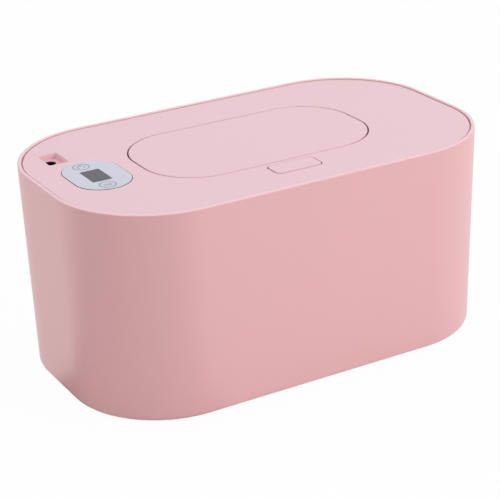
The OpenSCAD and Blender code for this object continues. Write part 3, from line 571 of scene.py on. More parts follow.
class Form:
    """A mesh in the making. Its shells are closed, and its lengths are in millimetres."""

    def __init__(self):
        self.mesh = bmesh.new()

    def strip(self, rings, closed=False, ends=False):
        """Joins rings of equal count with quads, in a loop or with a face on each end."""
        made = [[self.mesh.verts.new(p) for p in ring] for ring in rings]
        pairs = list(zip(made, made[1:])) + ([(made[-1], made[0])] if closed else [])
        for low, high in pairs:
            for a in range(len(low)):
                b = (a + 1) % len(low)
                self.mesh.faces.new((low[a], low[b], high[b], high[a]))
        if ends:
            self.mesh.faces.new(made[0])
            self.mesh.faces.new(made[-1])

    def sweep(self, outline, line, steps, closed=False):
        """Sweeps an [offset, height] line round an outline."""
        rings = [[(x, y, z) for x, y in rounded_loop(outline, d, steps)] for d, z in line]
        self.strip(rings, closed)

    def wall(self, outline, corners, steps):
        """Sweeps a line with rounded corners round an outline."""
        self.sweep(outline, filleted(corners, 5), steps)

    def side(self, outline, high, low, steps):
        """A side between two faces.

        Each end is (height, edge radius, how far its strip of the face reaches outwards).
        """
        (z1, round1, flat1), (z0, round0, flat0) = high, low
        corners = [(flat1, z1, 0), (0, z1, round1), (0, z0, round0), (flat0, z0, 0)]
        self.wall(outline, corners, steps)

    def rib(self, outline, outer, inner, z0, z1, steps):
        """A plain rib round an outline, between two offsets and two heights."""
        line = [(outer, z0), (outer, z1), (inner, z1), (inner, z0)]
        self.sweep(outline, line, steps, closed=True)

    def lathe(self, line, steps):
        """Turns a [radius, height] line about the Z axis. Its ends are flat."""
        angles = [TURN * k / steps for k in range(steps)]
        rings = [[(r * math.cos(a), r * math.sin(a), z) for a in angles] for r, z in line]
        self.strip(rings, ends=True)

    def prism(self, section, x0, x1):
        """Extrudes a [y, z] section along X."""
        self.strip([[(x, y, z) for y, z in section] for x in (x0, x1)], ends=True)

    def box(self, low, high):
        (x0, y0, z0), (x1, y1, z1) = low, high
        self.prism([(y0, z0), (y1, z0), (y1, z1), (y0, z1)], x0, x1)

    def twins(self, section, near, far):
        """A prism on each side of the middle, between two distances from it."""
        self.prism(section, -far, -near)
        self.prism(section, near, far)

    def stroke(self, path, width, z0, z1):
        """A line of that width along a path of [x, y] points."""
        path = [Vector(p) for p in path]
        rings = []
        for i, here in enumerate(path):
            way = path[min(i + 1, len(path) - 1)] - path[max(i - 1, 0)]
            side = way.normalized().orthogonal() * (width / 2)
            left, right = here + side, here - side
            rings.append([(*left, z1), (*right, z1), (*right, z0), (*left, z0)])
        self.strip(rings, ends=True)

    def cap(self):
        """Fills the open edges, one level at a time, leaving the holes in each."""
        weld(self.mesh, 1e-5)
        levels = {}
        for edge in self.mesh.edges:
            if edge.is_boundary:
                levels.setdefault(round(edge.verts[0].co.z, 3), []).append(edge)
        for edges in levels.values():
            bmesh.ops.triangle_fill(
                self.mesh, edges=edges, use_beauty=True, use_dissolve=False, normal=(0, 0, 1)
            )

    def object(self, name):
        """Merges, turns the faces outwards and makes the object, in metres."""
        weld(self.mesh, 1e-5)
        bmesh.ops.recalc_face_normals(self.mesh, faces=self.mesh.faces)
        bmesh.ops.scale(self.mesh, vec=(MM, MM, MM), verts=self.mesh.verts)
        return mesh_object(name, self.mesh)


def shade(made, angle=32):
    made.data.shade_smooth()
    made.data.set_sharp_from_angle(angle=math.radians(angle))
    return made


def dress(made, body, slot, nodes=(), finish=None):
    """Gives a finished piece its material and its body, and hides the nodes that it stands for.
    """
    made.data.materials.clear()
    made.data.materials.append(bpy.data.materials[(finish or slot) + FINISH])
    for polygon in made.data.polygons:
        polygon.material_index = 0
    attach(made, body)
    if nodes:
        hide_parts(*nodes)
    return made


def welded_node(node):
    """A node's mesh in the making, with its loose triangles joined."""
    mesh = opened(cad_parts[node].data)
    weld(mesh, 2e-6, 1e-6)
    return mesh


def dressed_copy(node, slot, angle=30):
    """A welded copy of one of the lid's nodes, with smooth curved faces and a finish."""
    made = mesh_object("piece_" + node, welded_node(node))
    if made.data.has_custom_normals:  # They belong to the loose triangles
        made.data.attributes.remove(made.data.attributes["custom_normal"])
    return dress(shade(made, angle), "lid", slot, [node])


# ---- Geometry Nodes for swept walls, coils and repeated parts ----


def new_tree(name, inputs):
    """A Geometry Nodes tree with named inputs. Returns it and their wires."""
    tree = bpy.data.node_groups.new(name, "GeometryNodeTree")
    tree.is_modifier = True
    tree.interface.new_socket("Geometry", in_out="INPUT", socket_type="NodeSocketGeometry")
    inputs = {**inputs, "Material": "Material"}
    for label, kind in inputs.items():
        tree.interface.new_socket(label, in_out="INPUT", socket_type="NodeSocket" + kind)
    tree.interface.new_socket("Geometry", in_out="OUTPUT", socket_type="NodeSocketGeometry")
    given = tree.nodes.new("NodeGroupInput")
    return tree, {label: Wire(tree, given.outputs[label]) for label in ("Geometry", *inputs)}


def end_tree(tree, given, geometry):
    real = add_node(tree, "GeometryNodeRealizeInstances", values={"Geometry": geometry})
    painted = add_node(
        tree, "GeometryNodeSetMaterial", values={"Geometry": real, "Material": given["Material"]}
    )
    plug(tree, tree.nodes.new("NodeGroupOutput").inputs[0], painted)


def point(tree, x, y, z):
    return add_node(tree, "ShaderNodeCombineXYZ", values={0: x, 1: y, 2: z})


def shape_of(tree, thing):
    """The geometry of the object that an input names."""
    return add_node(tree, "GeometryNodeObjectInfo", values={"Object": thing}, out="Geometry")


def moved(tree, geometry, place):
    return add_node(
        tree, "GeometryNodeSetPosition", values={"Geometry": geometry, "Position": place}
    )


def copies_of(tree, given, shape):
    return add_node(
        tree,
        "GeometryNodeInstanceOnPoints",
        values={"Points": given["Geometry"], "Instance": shape},
    )


def swept_wall_tree():
    """Sweeps a section, given as points [distance, 0, height], round a rounded outline."""
    sizes = {"Half Length": "Float", "Half Width": "Float", "Corner Steps": "Int"}
    tree, given = new_tree("swept_wall", {"Section": "Object", **sizes})
    section = shape_of(tree, given["Section"])
    count = add_node(tree, "GeometryNodeAttributeDomainSize", values={0: section})
    column = given["Corner Steps"] + 1
    grid = add_node(
        tree,
        "GeometryNodeMeshGrid",
        values={"Vertices X": column * 4 + 1, "Vertices Y": count},
    )
    index = add_node(tree, "GeometryNodeInputIndex")
    along = (index / count).floor()
    corner = (along / column).floor()
    turn = (corner + (along % column) / given["Corner Steps"]) * (TURN / 4)
    facing = (corner + 0.5) * (TURN / 4)
    position = add_node(tree, "GeometryNodeInputPosition")
    sample = add_node(
        tree,
        "GeometryNodeSampleIndex",
        {"data_type": "FLOAT_VECTOR"},
        {"Geometry": section, "Value": position, "Index": index % count},
    )
    out, _, height = parts_of(tree, sample)
    place = point(
        tree,
        facing.cosine().sign() * given["Half Length"] + out * turn.cosine(),
        facing.sine().sign() * given["Half Width"] + out * turn.sine(),
        height,
    )
    wall = moved(tree, grid, place)
    welded = add_node(
        tree, "GeometryNodeMergeByDistance", values={"Geometry": wall, "Distance": 1e-7}
    )
    end_tree(tree, given, welded)


def placed_tree():
    """Puts a copy of a pattern piece on every point."""
    tree, given = new_tree("placed_copies", {"Pattern": "Object"})
    end_tree(tree, given, copies_of(tree, given, shape_of(tree, given["Pattern"])))


def coil_tree():
    """Winds a spring with closed ends on every point."""
    labels = ("Coil Radius", "Wire Radius", "Height", "Turns")
    tree, given = new_tree("coil_springs", {label: "Float" for label in labels})
    radius, wire, height, turns = (given[label] for label in labels)
    line = add_node(
        tree,
        "GeometryNodeCurvePrimitiveLine",
        values={"Start": (0, 0, 0), "End": (0, 0, 1)},
    )
    points = add_node(tree, "GeometryNodeResampleCurve", values={"Curve": line, "Count": 240})
    factor = add_node(tree, "GeometryNodeSplineParameter", out="Factor")
    angle = factor * turns * TURN
    share = 1.0 / turns
    start = (factor / share).clamped() * wire * 2
    finish = ((factor - 1 + share) / share).clamped() * wire * 2
    middle = ((factor - share) / (1 - share * 2)).clamped() * (height - wire * 6)
    climb = wire + start + middle + finish
    place = point(tree, angle.cosine() * radius, angle.sine() * radius, climb)
    wound = moved(tree, points, place)
    circle = add_node(
        tree, "GeometryNodeCurvePrimitiveCircle", values={"Resolution": 10, "Radius": wire}
    )
    tube = add_node(
        tree,
        "GeometryNodeCurveToMesh",
        values={"Curve": wound, "Profile Curve": circle, "Fill Caps": True},
    )
    end_tree(tree, given, copies_of(tree, given, tube))


def points_object(points):
    data = bpy.data.meshes.new("points")
    data.from_pydata([[c * MM for c in p] for p in points], [], [])
    return add_object("points", data)


def grown(name, tree, points, slot, **inputs):
    """Runs a tree on points and keeps the result as a plain mesh object."""
    seed = points_object(points)
    modifier = seed.modifiers.new(name, "NODES")
    modifier.node_group = bpy.data.node_groups[tree]
    sockets = {
        s.name: s.identifier
        for s in modifier.node_group.interface.items_tree
        if s.in_out == "INPUT"
    }
    inputs["material"] = bpy.data.materials[slot + FINISH]
    for label, value in inputs.items():
        modifier[sockets[label.replace("_", " ").title()]] = value
    data = evaluated_mesh(seed)
    seed.modifiers.clear()
    bpy.data.objects.remove(seed)
    data.name = name
    return add_object(name, data)


def close_up(made):
    """Fills the core of a swept wall, welds it and turns its faces outwards."""
    mesh = opened(made.data)
    weld(mesh, 1e-7)
    bmesh.ops.holes_fill(mesh, edges=[e for e in mesh.edges if e.is_boundary])
    bmesh.ops.recalc_face_normals(mesh, faces=mesh.faces)
    mesh.to_mesh(made.data)
    mesh.free()
    return made


def swept(name, slot, line, half_length, half_width, steps):
    """A wall swept round the outline whose corner centres lie at those halves."""
    section = points_object([(d, 0, z) for d, z in line])
    made = grown(
        name,
        "swept_wall",
        [(0, 0, 0)],
        slot,
        section=section,
        half_length=half_length * MM,
        half_width=half_width * MM,
        corner_steps=steps,
    )
    bpy.data.objects.remove(section)
    return close_up(made)


def placed(name, slot, pattern, places):
    made = grown(name, "placed_copies", places, slot, pattern=pattern)
    bpy.data.objects.remove(pattern)
    return made


# ---- Where things are, in millimetres ----


def box_of(node):
    low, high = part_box(node)
    return low / MM, high / MM


def middle_of(node):
    """The middle of a node, seen from above."""
    low, high = box_of(node)
    return (low.x + high.x) / 2, (low.y + high.y) / 2


class Plan:
    """The sizes in millimetres, and places that several pieces share."""

    def __init__(self):
        sizes = bpy.context.scene.warmer_sizes
        for name in sizes.__annotations__:
            if name != "draft":
                setattr(self, name, getattr(sizes, name) / MM)
        self.lean = math.tan(sizes.draft)
        half_x, half_y, self.rim = box_of("tub")[1]
        self.cx, self.cy = half_x - self.corner, half_y - self.corner
        self.lid_z = self.rim - self.lid_drop
        self.lid_under = self.lid_z - self.lid_thick
        self.lid_r = box_of("lid_top")[1].x - self.cx + self.rim_rebate
        self.skirt_z = box_of("lid_seal")[1].z
        self.rebate_z = self.skirt_z - 0.4
        self.flap_y = middle_of("flap_seal")[1]
        half_length, half_width = self.flap_length / 2, self.flap_width / 2
        self.flap = (0, self.flap_y, half_length, half_width, self.flap_corner)
        half_length, half_width = self.button_length / 2, self.button_width / 2
        button_y = self.flap_y - self.flap[3] - self.button_back - half_width
        self.button = (0, button_y, half_length, half_width, self.button_corner)
        self.button_z = box_of("release_button")[1].z
        half_length, half_width = self.panel_length / 2, self.panel_width / 2
        self.panel = (*middle_of("control_panel"), half_width, half_length, half_width)
        self.panel_low, self.panel_z = (corner.z for corner in box_of("control_panel"))
        low, high = box_of("display_window")
        half = (high - low) / 2
        self.window = (*middle_of("display_window"), half.x, half.y, self.window_corner)
        self.bore = middle_of("socket_pin")
        recess_x, recess_y = self.bore[0] + self.bore_left, self.bore[1] - self.bore_back
        half_length, half_width = self.recess_length / 2, self.recess_width / 2
        self.recess = (recess_x, recess_y, half_width, half_length, self.recess_corner)
        self.inlet_z = self.lid_z - self.recess_depth
        low, high = box_of("hinge_pin")
        self.hinge = ((low.y + high.y) / 2, (low.z + high.z) / 2)

    def out(self, z):
        """Distance of the shell's face from the corner centres at a height."""
        return self.corner - (self.rim - z) * self.lean

    def inside(self, z):
        """Distance of the shell's inner face from the corner centres at a height."""
        return self.out(z) - self.wall


def places_of(node):
    """Middle of each separate solid of a node, seen from above."""
    mesh = opened(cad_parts[node].data)
    bmesh.ops.remove_doubles(mesh, verts=mesh.verts, dist=2e-6)
    left, found = set(mesh.verts), []
    while left:
        group, waiting = set(), [left.pop()]
        while waiting:
            vertex = waiting.pop()
            group.add(vertex)
            near = {e.other_vert(vertex) for e in vertex.link_edges} & left
            left -= near
            waiting += near
        xs, ys = [v.co.x for v in group], [v.co.y for v in group]
        found.append(((min(xs) + max(xs)) / 2 / MM, (min(ys) + max(ys)) / 2 / MM))
    mesh.free()
    return sorted(found)


# ---- One operator for each piece or group ----


class WARMER_OT_finishes(bpy.types.Operator):
    """Makes the materials and the node trees that the pieces share"""

    bl_idname = "warmer.finishes"
    bl_label = "Finishes"

    def execute(self, context):
        make_finishes(context.scene.warmer_colours, Plan())
        swept_wall_tree()
        placed_tree()
        coil_tree()
        return {"FINISHED"}


class WARMER_OT_shell(bpy.types.Operator):
    """Builds the outer shell with its rounded rim"""

    bl_idname = "warmer.shell"
    bl_label = "Outer shell"

    def execute(self, context):
        p = Plan()
        foot, floor, ledge = p.foot_drop, p.foot_drop + p.floor_thick, p.rebate_z
        line = filleted(
            [
                (0, foot, 0),
                (p.out(foot), foot, p.bottom_round),
                (p.out(p.rim), p.rim, p.rim_round),
                (p.inside(p.rim) + p.rim_rebate, p.rim, p.rim_inner),
                (p.inside(ledge) + p.rim_rebate, ledge, 0.2),
                (p.inside(ledge), ledge, 0.2),
                (p.inside(floor), floor, 0.6),
                (0, floor, 0),
            ],
            10,
        )
        made = swept("shell", "shell_plastic", line, p.cx, p.cy, 40)
        dress(shade(made, 40), "housing", "shell_plastic", ["tub"])
        return {"FINISHED"}


class WARMER_OT_liner(bpy.types.Operator):
    """Builds the inner liner that holds the wipes"""

    bl_idname = "warmer.liner"
    bl_label = "Inner liner"

    def execute(self, context):
        p = Plan()
        high = box_of("inner_liner")[1]
        top, flange, floor = high.z, high.x - p.cx, p.liner_floor
        flange_z, foot = top - p.liner_flange, floor - p.liner_wall

        def outer(z):
            return p.inside(z) - p.liner_gap

        line = filleted(
            [
                (0, foot, 0),
                (outer(foot), foot, 7.5),
                (outer(flange_z), flange_z, 0.5),
                (flange, flange_z, 0.25),
                (flange, top, 0.35),
                (outer(top) - p.liner_wall, top, 0.6),
                (outer(floor) - p.liner_wall, floor, 6.0),
                (0, floor, 0),
            ],
            8,
        )
        made = swept("liner", "liner_plastic", line, p.cx, p.cy, 32)
        dress(shade(made, 40), "housing", "liner_plastic", ["inner_liner"])
        return {"FINISHED"}


def screw_pattern(head, head_h, shank, tall, pitch):
    """One pan-head screw with its head down, a cross recess and a thread."""
    dome = [(head * math.cos(a), head_h * (1 - math.sin(a)) * 0.7) for a in (1.2, 0.9, 0.5, 0.0)]
    thread_root, z, crest = shank * 0.84, head_h + 0.4, True
    line = [(0.02, 0.0), *dome, (head, head_h), (shank, head_h), (shank, z)]
    while z + pitch / 2 < tall - 0.8:
        z += pitch / 2
        crest = not crest
        line.append((shank if crest else thread_root, z))
    line += [(shank * 0.8, tall - 0.6), (0.05, tall)]
    form, cutter = Form(), Form()
    form.lathe(line, 20)
    made = form.object("screw_pattern")
    arm, half_arm = head * 0.62, head * 0.15
    for x, y in ((half_arm, arm), (arm, half_arm)):
        cutter.box((-x, -y, -0.3), (x, y, head_h * 0.62))
    tool = cutter.object("screw_cutter")
    cut = made.modifiers.new("recess", "BOOLEAN")
    cut.operation, cut.solver, cut.object = "DIFFERENCE", "EXACT", tool
    cut.use_self = True
    data = evaluated_mesh(made)
    made.modifiers.clear()
    made.data = data
    bpy.data.objects.remove(tool)
    return made


class WARMER_OT_screws(bpy.types.Operator):
    """Puts a screw in each screw place of the housing, the lid, the heater and the board"""

    bl_idname = "warmer.screws"
    bl_label = "Screws"

    def execute(self, context):
        pitch = Plan().thread_pitch
        for node, body, head, head_h, shank in (
            ("base_screws", "housing", 2.9, 1.8, 1.35),
            ("lid_screws", "lid", 2.7, 1.9, 1.3),
            ("plate_screws", "lid", 2.6, 1.5, 1.3),
            ("board_screws", "lid", 2.0, 1.2, 1.0),
        ):
            low, high = box_of(node)
            pattern = screw_pattern(head, head_h, shank, high.z - low.z, pitch)
            places = [(x, y, low.z) for x, y in places_of(node)]
            made = placed(node + "_detailed", "screw_steel", pattern, places)
            dress(shade(made, 30), body, "screw_steel", [node])
        return {"FINISHED"}


class WARMER_OT_feet(bpy.types.Operator):
    """Builds the four ringed rubber foot pads"""

    bl_idname = "warmer.feet"
    bl_label = "Foot pads"

    def execute(self, context):
        radius, tall, hub, pitch = 7.7, 1.9, 1.8, 1.25
        line = [(0.1, 0.25), (hub - 0.2, 0.25), (hub, 0.0)]
        for ring in range(1, 5):
            r = hub + ring * pitch
            line += [(r - 0.25, 0.0), (r - 0.1, 0.2), (r + 0.1, 0.2), (r + 0.25, 0.0)]
        line += [(radius - 0.35, 0.0), (radius - 0.1, 0.1), (radius, 0.35), (radius, 1.5)]
        line += [(radius - 0.5, 1.6), (radius - 0.5, tall), (0.1, tall)]
        form = Form()
        form.lathe(line, 48)
        places = [(x, y, 0) for x, y in places_of("foot_pads")]
        made = placed("feet", "foot_rubber", form.object("foot_pattern"), places)
        dress(shade(made, 30), "housing", "foot_rubber", ["foot_pads"])
        return {"FINISHED"}


class WARMER_OT_lid_top(bpy.types.Operator):
    """Builds the lid's plate with its openings, recess and bosses, and the socket's nose"""

    bl_idname = "warmer.lid_top"
    bl_label = "Lid top"

    def execute(self, context):
        p = Plan()
        cup = p.inlet_z - p.recess_wall
        form = Form()
        self.edge(form, p)
        self.openings(form, p, cup)
        form.cap()
        for node, boss, bore, foot in (
            ("lid_screws", 3.0, 1.35, 86.5),
            ("board_screws", 2.4, 1.05, box_of("main_board")[1].z),
        ):
            for place in places_of(node):
                form.rib(disc(place, boss), 0, bore - boss, p.lid_under + 0.3, foot, 6)
        made = form.object("lid_plate")
        dress(shade(made), "lid", "lid_plastic", ["lid_top", "inlet_floor"])
        nose = Form()
        nose.rib(disc(p.bore, p.bore_radius - 0.02), 0, -0.25, cup, p.inlet_z - 0.4, 12)
        dress(shade(nose.object("socket_nose")), "lid", "black_parts")
        return {"FINISHED"}

    def edge(self, form, p):
        """The plate's outer side with its guide rib, and the skirt under it."""
        top, under, rib, skirt = p.lid_z, p.lid_under, p.lid_rib, p.skirt_z
        rib_top = top - p.lid_groove
        rib_low = rib_top - 1.1
        form.wall(
            widened((0, 0, p.cx, p.cy, 0), p.lid_r),
            [
                (-1.2, top, 0),
                (0, top, p.lid_edge),
                (0, rib_top, 0.05),
                (rib, rib_top, 0.05),
                (rib, rib_low, 0.05),
                (0, rib_low, 0.05),
                (0, skirt, 0.2),
                (-p.lid_skirt, skirt, 0.2),
                (-p.lid_skirt, under, 0.5),
                (-p.lid_skirt - 1.5, under, 0),
            ],
            36,
        )

    def openings(self, form, p, cup):
        """The openings for the flap, button, panel and window, and the inlet's recess."""
        top, under, inlet = p.lid_z, p.lid_under, p.inlet_z
        pocket = top - 1.2
        x, y, half_x, half_y, _ = p.window
        window = (x, y, half_x - p.window_ledge, half_y - p.window_ledge, 0.5)
        for outline, high, low, steps in (
            (widened(p.flap, p.flap_gap), (top, 0.3, 0.9), (under, 0.1, 0.9), 30),
            (widened(p.button, p.button_gap), (top, 0.12, 0.6), (under, 0.1, 0.6), 12),
            (widened(p.panel, 0.2), (top, 0.1, 0.5), (pocket, 0.1, -0.5), 24),
            (window, (pocket, 0.05, 0.2), (under, 0.05, 0.2), 6),
            (p.recess, (top, 0.65, 1.1), (inlet, 0.4, -0.7), 8),
            (widened(p.recess, p.recess_wall), (under, 0.3, 0.6), (cup, 0.3, -0.7), 10),
            (disc(p.bore, p.bore_radius), (inlet, 0.15, 0.4), (cup, 0.1, 0.4), 12),
        ):
            form.side(outline, high, low, steps)


class WARMER_OT_control_panel(bpy.types.Operator):
    """Builds the control panel, its window and the symbols printed on its two keys"""

    bl_idname = "warmer.control_panel"
    bl_label = "Control panel"

    def execute(self, context):
        p = Plan()
        top, low = p.panel_z, p.panel_low
        plate = Form()
        plate.side(p.panel, (top, 0.22, -1), (low, 0.1, -1), 32)
        plate.side(widened(p.window, 0.06), (top, 0.06, 0.3), (low, 0.06, 0.3), 6)
        plate.cap()
        dress(shade(plate.object("panel_plate")), "lid", "panel_acrylic", ["control_panel"])
        glass = Form()
        glass.side(p.window, (top - 0.05, 0.08, -0.4), (low, 0.05, -0.4), 6)
        glass.cap()
        dress(shade(glass.object("display_glass")), "lid", "smoked_window", ["display_window"])
        self.symbols(p)
        return {"FINISHED"}

    def symbols(self, p):
        """Rings round the two keys, a power sign and two waves, a little proud of the plate."""
        line, z0, z1 = p.print_line, p.panel_z - 0.02, p.panel_z + 0.03
        x, power_up, warm_down = p.window[0] - 0.3, 12.9, 13.3
        power, warm = (x - 0.7, p.panel[1] + power_up), (x, p.panel[1] - warm_down)
        form = Form()
        for key in (power, warm):
            form.rib(disc(key, p.key_radius), 0, -line, z0, z1, 12)
        form.stroke(arc(power, 1.7, -55, 235, 40), line, z0, z1)
        form.stroke([(power[0], power[1] + 0.5), (power[0], power[1] + 2.2)], line, z0, z1)
        wave, height, steps = 3.8, 0.3, 24
        for shift in (-0.9, 0.5):
            path = [
                (
                    warm[0] + wave * (t / steps - 0.5),
                    warm[1] + shift + height * math.sin(TURN * t / steps),
                )
                for t in range(steps + 1)
            ]
            form.stroke(path, line, z0, z1)
        dress(form.object("key_symbols"), "lid", "panel_acrylic", finish="panel_print")


class WARMER_OT_button(bpy.types.Operator):
    """Builds the release button with its skirt, its two wedge legs and its two ears"""

    bl_idname = "warmer.button"
    bl_label = "Release button"

    def execute(self, context):
        p = Plan()
        top, under, guide, wall = p.button_z, p.lid_z - 2, p.lid_z - 4.4, 1.3
        _, y, half_x, half_y, _ = p.button
        form = Form()
        form.wall(
            p.button,
            [
                (-0.9, top, 0),
                (0, top, 0.2),
                (0, guide, 0.1),
                (-wall, guide, 0.1),
                (-wall, under, 0.2),
                (-wall - 0.7, under, 0),
            ],
            12,
        )
        form.cap()
        leg_near, leg_far, ramp = 5.4, 7.8, 1.6
        front, leaf_top, root = y + half_y - 1.9, under - 2.3, under + 0.4
        back = front + ramp - 0.1
        wedge = [
            (front, leaf_top + 0.3),
            (back, leaf_top - ramp + 0.4),
            (back, root),
            (front, root),
        ]
        form.twins(wedge, leg_near, leg_far)
        half, ear_top = 2.5, p.lid_under - 0.2
        ear = [(y - half, guide), (y + half, guide), (y + half, ear_top), (y - half, ear_top)]
        form.twins(ear, half_x - 0.5, half_x + 1.1)
        dress(shade(form.object("button_cap")), "button", "flap_plastic", ["release_button"])
        return {"FINISHED"}


class WARMER_OT_flap(bpy.types.Operator):
    """Builds the flap with its rib, seal holder, catch and gooseneck arms"""

    bl_idname = "warmer.flap"
    bl_label = "Flap"

    def execute(self, context):
        p = Plan()
        form = Form()
        self.plate(form, p)
        self.arms(form, p)
        self.catch(form, p)
        dress(shade(form.object("flap_panel")), "flap", "flap_plastic", ["flap"])
        return {"FINISHED"}

    def plate(self, form, p):
        """The plate, with a stiffening rib and the two ribs that hold the seal."""
        top, under = p.lid_z, p.lid_under
        root, seal_hold, lean = under + 0.2, 2.6, 0.85
        form.wall(
            p.flap,
            [(-1.2, top, 0), (0, top, 0.35), (-lean, under, 0.15), (-1.9, under, 0)],
            32,
        )
        form.cap()
        rib = [
            (-2, root),
            (-2, under - 1.2),
            (-2.2, under - 1.4),
            (-3.2, under - 1.4),
            (-3.4, under - 1.2),
            (-3.4, root),
        ]
        form.sweep(p.flap, rib, 24, closed=True)
        outlet = (0, p.flap_y, 38, 16, 16)
        foot = box_of("flap_seal")[1].z - seal_hold
        for outer, inner in ((1.7, 0.3), (-1.9, -3.3)):
            form.rib(outlet, outer, inner, root, foot, 24)

    def arms(self, form, p):
        """The two gooseneck arms round the hinge, and the bar between them."""
        y, z = p.hinge
        back, drop, hub = 6.5, 4.2, 1.8
        near, far, reach = 16.8, 20.1, 17.3
        inner = math.hypot(back - p.flap_gap, drop) + 0.4
        outer = inner + 2.0
        join = p.lid_under + 0.4 - z
        outer_end = 180 - math.degrees(math.asin(join / outer))
        inner_end = 180 - math.degrees(math.asin(join / inner))
        section = [
            *arc((y, z), outer, outer_end, 261, 30),
            (y + hub - 0.2, z - outer * 0.985),
            (y + hub - 0.2, z),
            *arc((y, z), hub, 10, 170, 10),
            (y - hub + 0.3, z),
            (y - hub + 0.5, z - inner * 0.98),
            *arc((y, z), inner, 258, inner_end, 30),
        ]
        form.twins(section, near, far)
        bar_y = y - outer + 0.1
        form.box((-reach, bar_y, z - 0.9), (reach, bar_y + 1.85, z + 0.9))

    def catch(self, form, p):
        """The catch at the flap's front that the latch's hook holds."""
        tip, root, half, hook_drop = p.flap[1] - p.flap[3], p.lid_under + 0.3, 4, 3.4
        top = box_of("latch_hook")[1].z - hook_drop
        section = [
            (tip + 1.6, root),
            (tip + 1.6, top),
            (tip - 0.15, top),
            (tip - 0.15, top - 0.5),
            (tip + 1.6, top - 1.5),
            (tip + 3.2, top - 1.5),
            (tip + 3.2, root),
        ]
        form.prism(section, -half, half)


class WARMER_OT_seals(bpy.types.Operator):
    """Builds the lid's seal, the flap's seal and the foam under the flap"""

    bl_idname = "warmer.seals"
    bl_label = "Seals and foam"

    def execute(self, context):
        p = Plan()
        self.lid_seal(p)
        self.flap_seal(p)
        low, high = box_of("flap_foam")
        half_y = high.y - p.flap_y
        outline = (0, p.flap_y, high.x, half_y, half_y)
        form = Form()
        form.side(outline, (high.z, 0.1, -1.5), (low.z, 0.5, -1.5), 24)
        form.cap()
        foam = dress(shade(form.object("foam_pad"), 40), "flap", "foam", ["flap_foam"])
        return {"FINISHED"}

    def lid_seal(self, p):
        low, high = box_of("lid_seal")
        outer, inner, z0, z1 = high.x - p.cx, 39.3, low.z, high.z
        seam = (inner, (z0 + z1) / 2, 0)
        low_side = [(inner, z0, 0.25), (outer, z0, 0.7)]
        high_side = [(outer, z1, 0.7), (inner, z1, 0.25)]
        line = filleted([seam, *low_side, *high_side, seam], 5, 0.02)
        made = swept("lid_gasket", "silicone", line, p.cx, p.cy, 32)
        dress(shade(made, 60), "lid", "silicone", ["lid_seal"])

    def flap_seal(self, p):
        """A seal with a grooved foot, and a lip that the ribs under the flap hold."""
        low, high = box_of("flap_seal")
        middle, half_foot, half_lip = 15.2, 2, 1
        z0, z1 = low.z, high.z
        foot_top, groove = z0 + 2.5, z0 + 0.35
        seam = (middle - half_foot, z0 + 1.2, 0)
        line = filleted(
            [
                seam,
                (middle - half_foot, z0, 0.3),
                (middle - 0.6, z0, 0.1),
                (middle - 0.3, groove, 0.1),
                (middle + 0.3, groove, 0.1),
                (middle + 0.6, z0, 0.1),
                (middle + half_foot, z0, 0.3),
                (middle + half_foot, foot_top, 0.3),
                (middle + half_lip, foot_top, 0.1),
                (middle + half_lip, z1, 0.1),
                (middle - half_lip, z1, 0.1),
                (middle - half_lip, foot_top, 0.1),
                (middle - half_foot, foot_top, 0.3),
                seam,
            ],
            4,
            0.03,
        )
        made = swept("flap_gasket", "silicone", line, high.x - middle - half_foot, 0, 32)
        made.data.transform(Matrix.Translation((0, p.flap_y * MM, 0)))
        dress(shade(made, 50), "flap", "silicone", ["flap_seal"])


class WARMER_OT_tray(bpy.types.Operator):
    """Dresses the lid's tray, its outlet gasket and the latch in it"""

    bl_idname = "warmer.tray"
    bl_label = "Lid tray"

    def execute(self, context):
        dressed_copy("lid_base", "tray_plastic")
        dressed_copy("outlet_gasket", "silicone")
        dressed_copy("latch_hook", "latch_plastic")
        return {"FINISHED"}


class WARMER_OT_heater(bpy.types.Operator):
    """Dresses the heater: plate, film, foam, sensor, fuse and leads"""

    bl_idname = "warmer.heater"
    bl_label = "Heater"

    def execute(self, context):
        dressed_copy("heater_plate", "heater_aluminium")
        dressed_copy("heating_film", "heater_film")
        dressed_copy("thermistor", "black_parts")
        dressed_copy("thermal_fuse", "fuse_metal")
        dressed_copy("heater_leads", "lead_insulation")
        dressed_copy("insulation_pad", "foam")
        return {"FINISHED"}


class WARMER_OT_electronics(bpy.types.Operator):
    """Dresses the board, its parts, the display and the power socket"""

    bl_idname = "warmer.electronics"
    bl_label = "Electronics"

    def execute(self, context):
        dressed_copy("main_board", "circuit_board")
        dressed_copy("board_parts", "black_parts")
        dressed_copy("display_module", "black_parts")
        dressed_copy("power_socket", "black_parts")
        dressed_copy("socket_pin", "pin_brass")
        return {"FINISHED"}


class WARMER_OT_springs(bpy.types.Operator):
    """Winds the touch and button springs, and dresses the hinge pin and its spring"""

    bl_idname = "warmer.springs"
    bl_label = "Springs and pin"

    def execute(self, context):
        self.wound("touch_springs", 2.0, 6.0)
        springs = self.wound("button_springs", 1.6, 7.0)
        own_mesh(springs)
        dressed_copy("flap_spring", "spring_steel", 50)
        dressed_copy("hinge_pin", "spring_steel", 50)
        return {"FINISHED"}

    def wound(self, node, radius, turns):
        """Winds a coil spring in each place of a node."""
        low, high = box_of(node)
        made = grown(
            node + "_wound",
            "coil_springs",
            [(x, y, low.z) for x, y in places_of(node)],
            "spring_steel",
            coil_radius=radius * MM,
            wire_radius=0.3 * MM,
            height=high.z * MM - low.z * MM,
            turns=turns,
        )
        return dress(shade(made, 50), "lid", "spring_steel", [node])


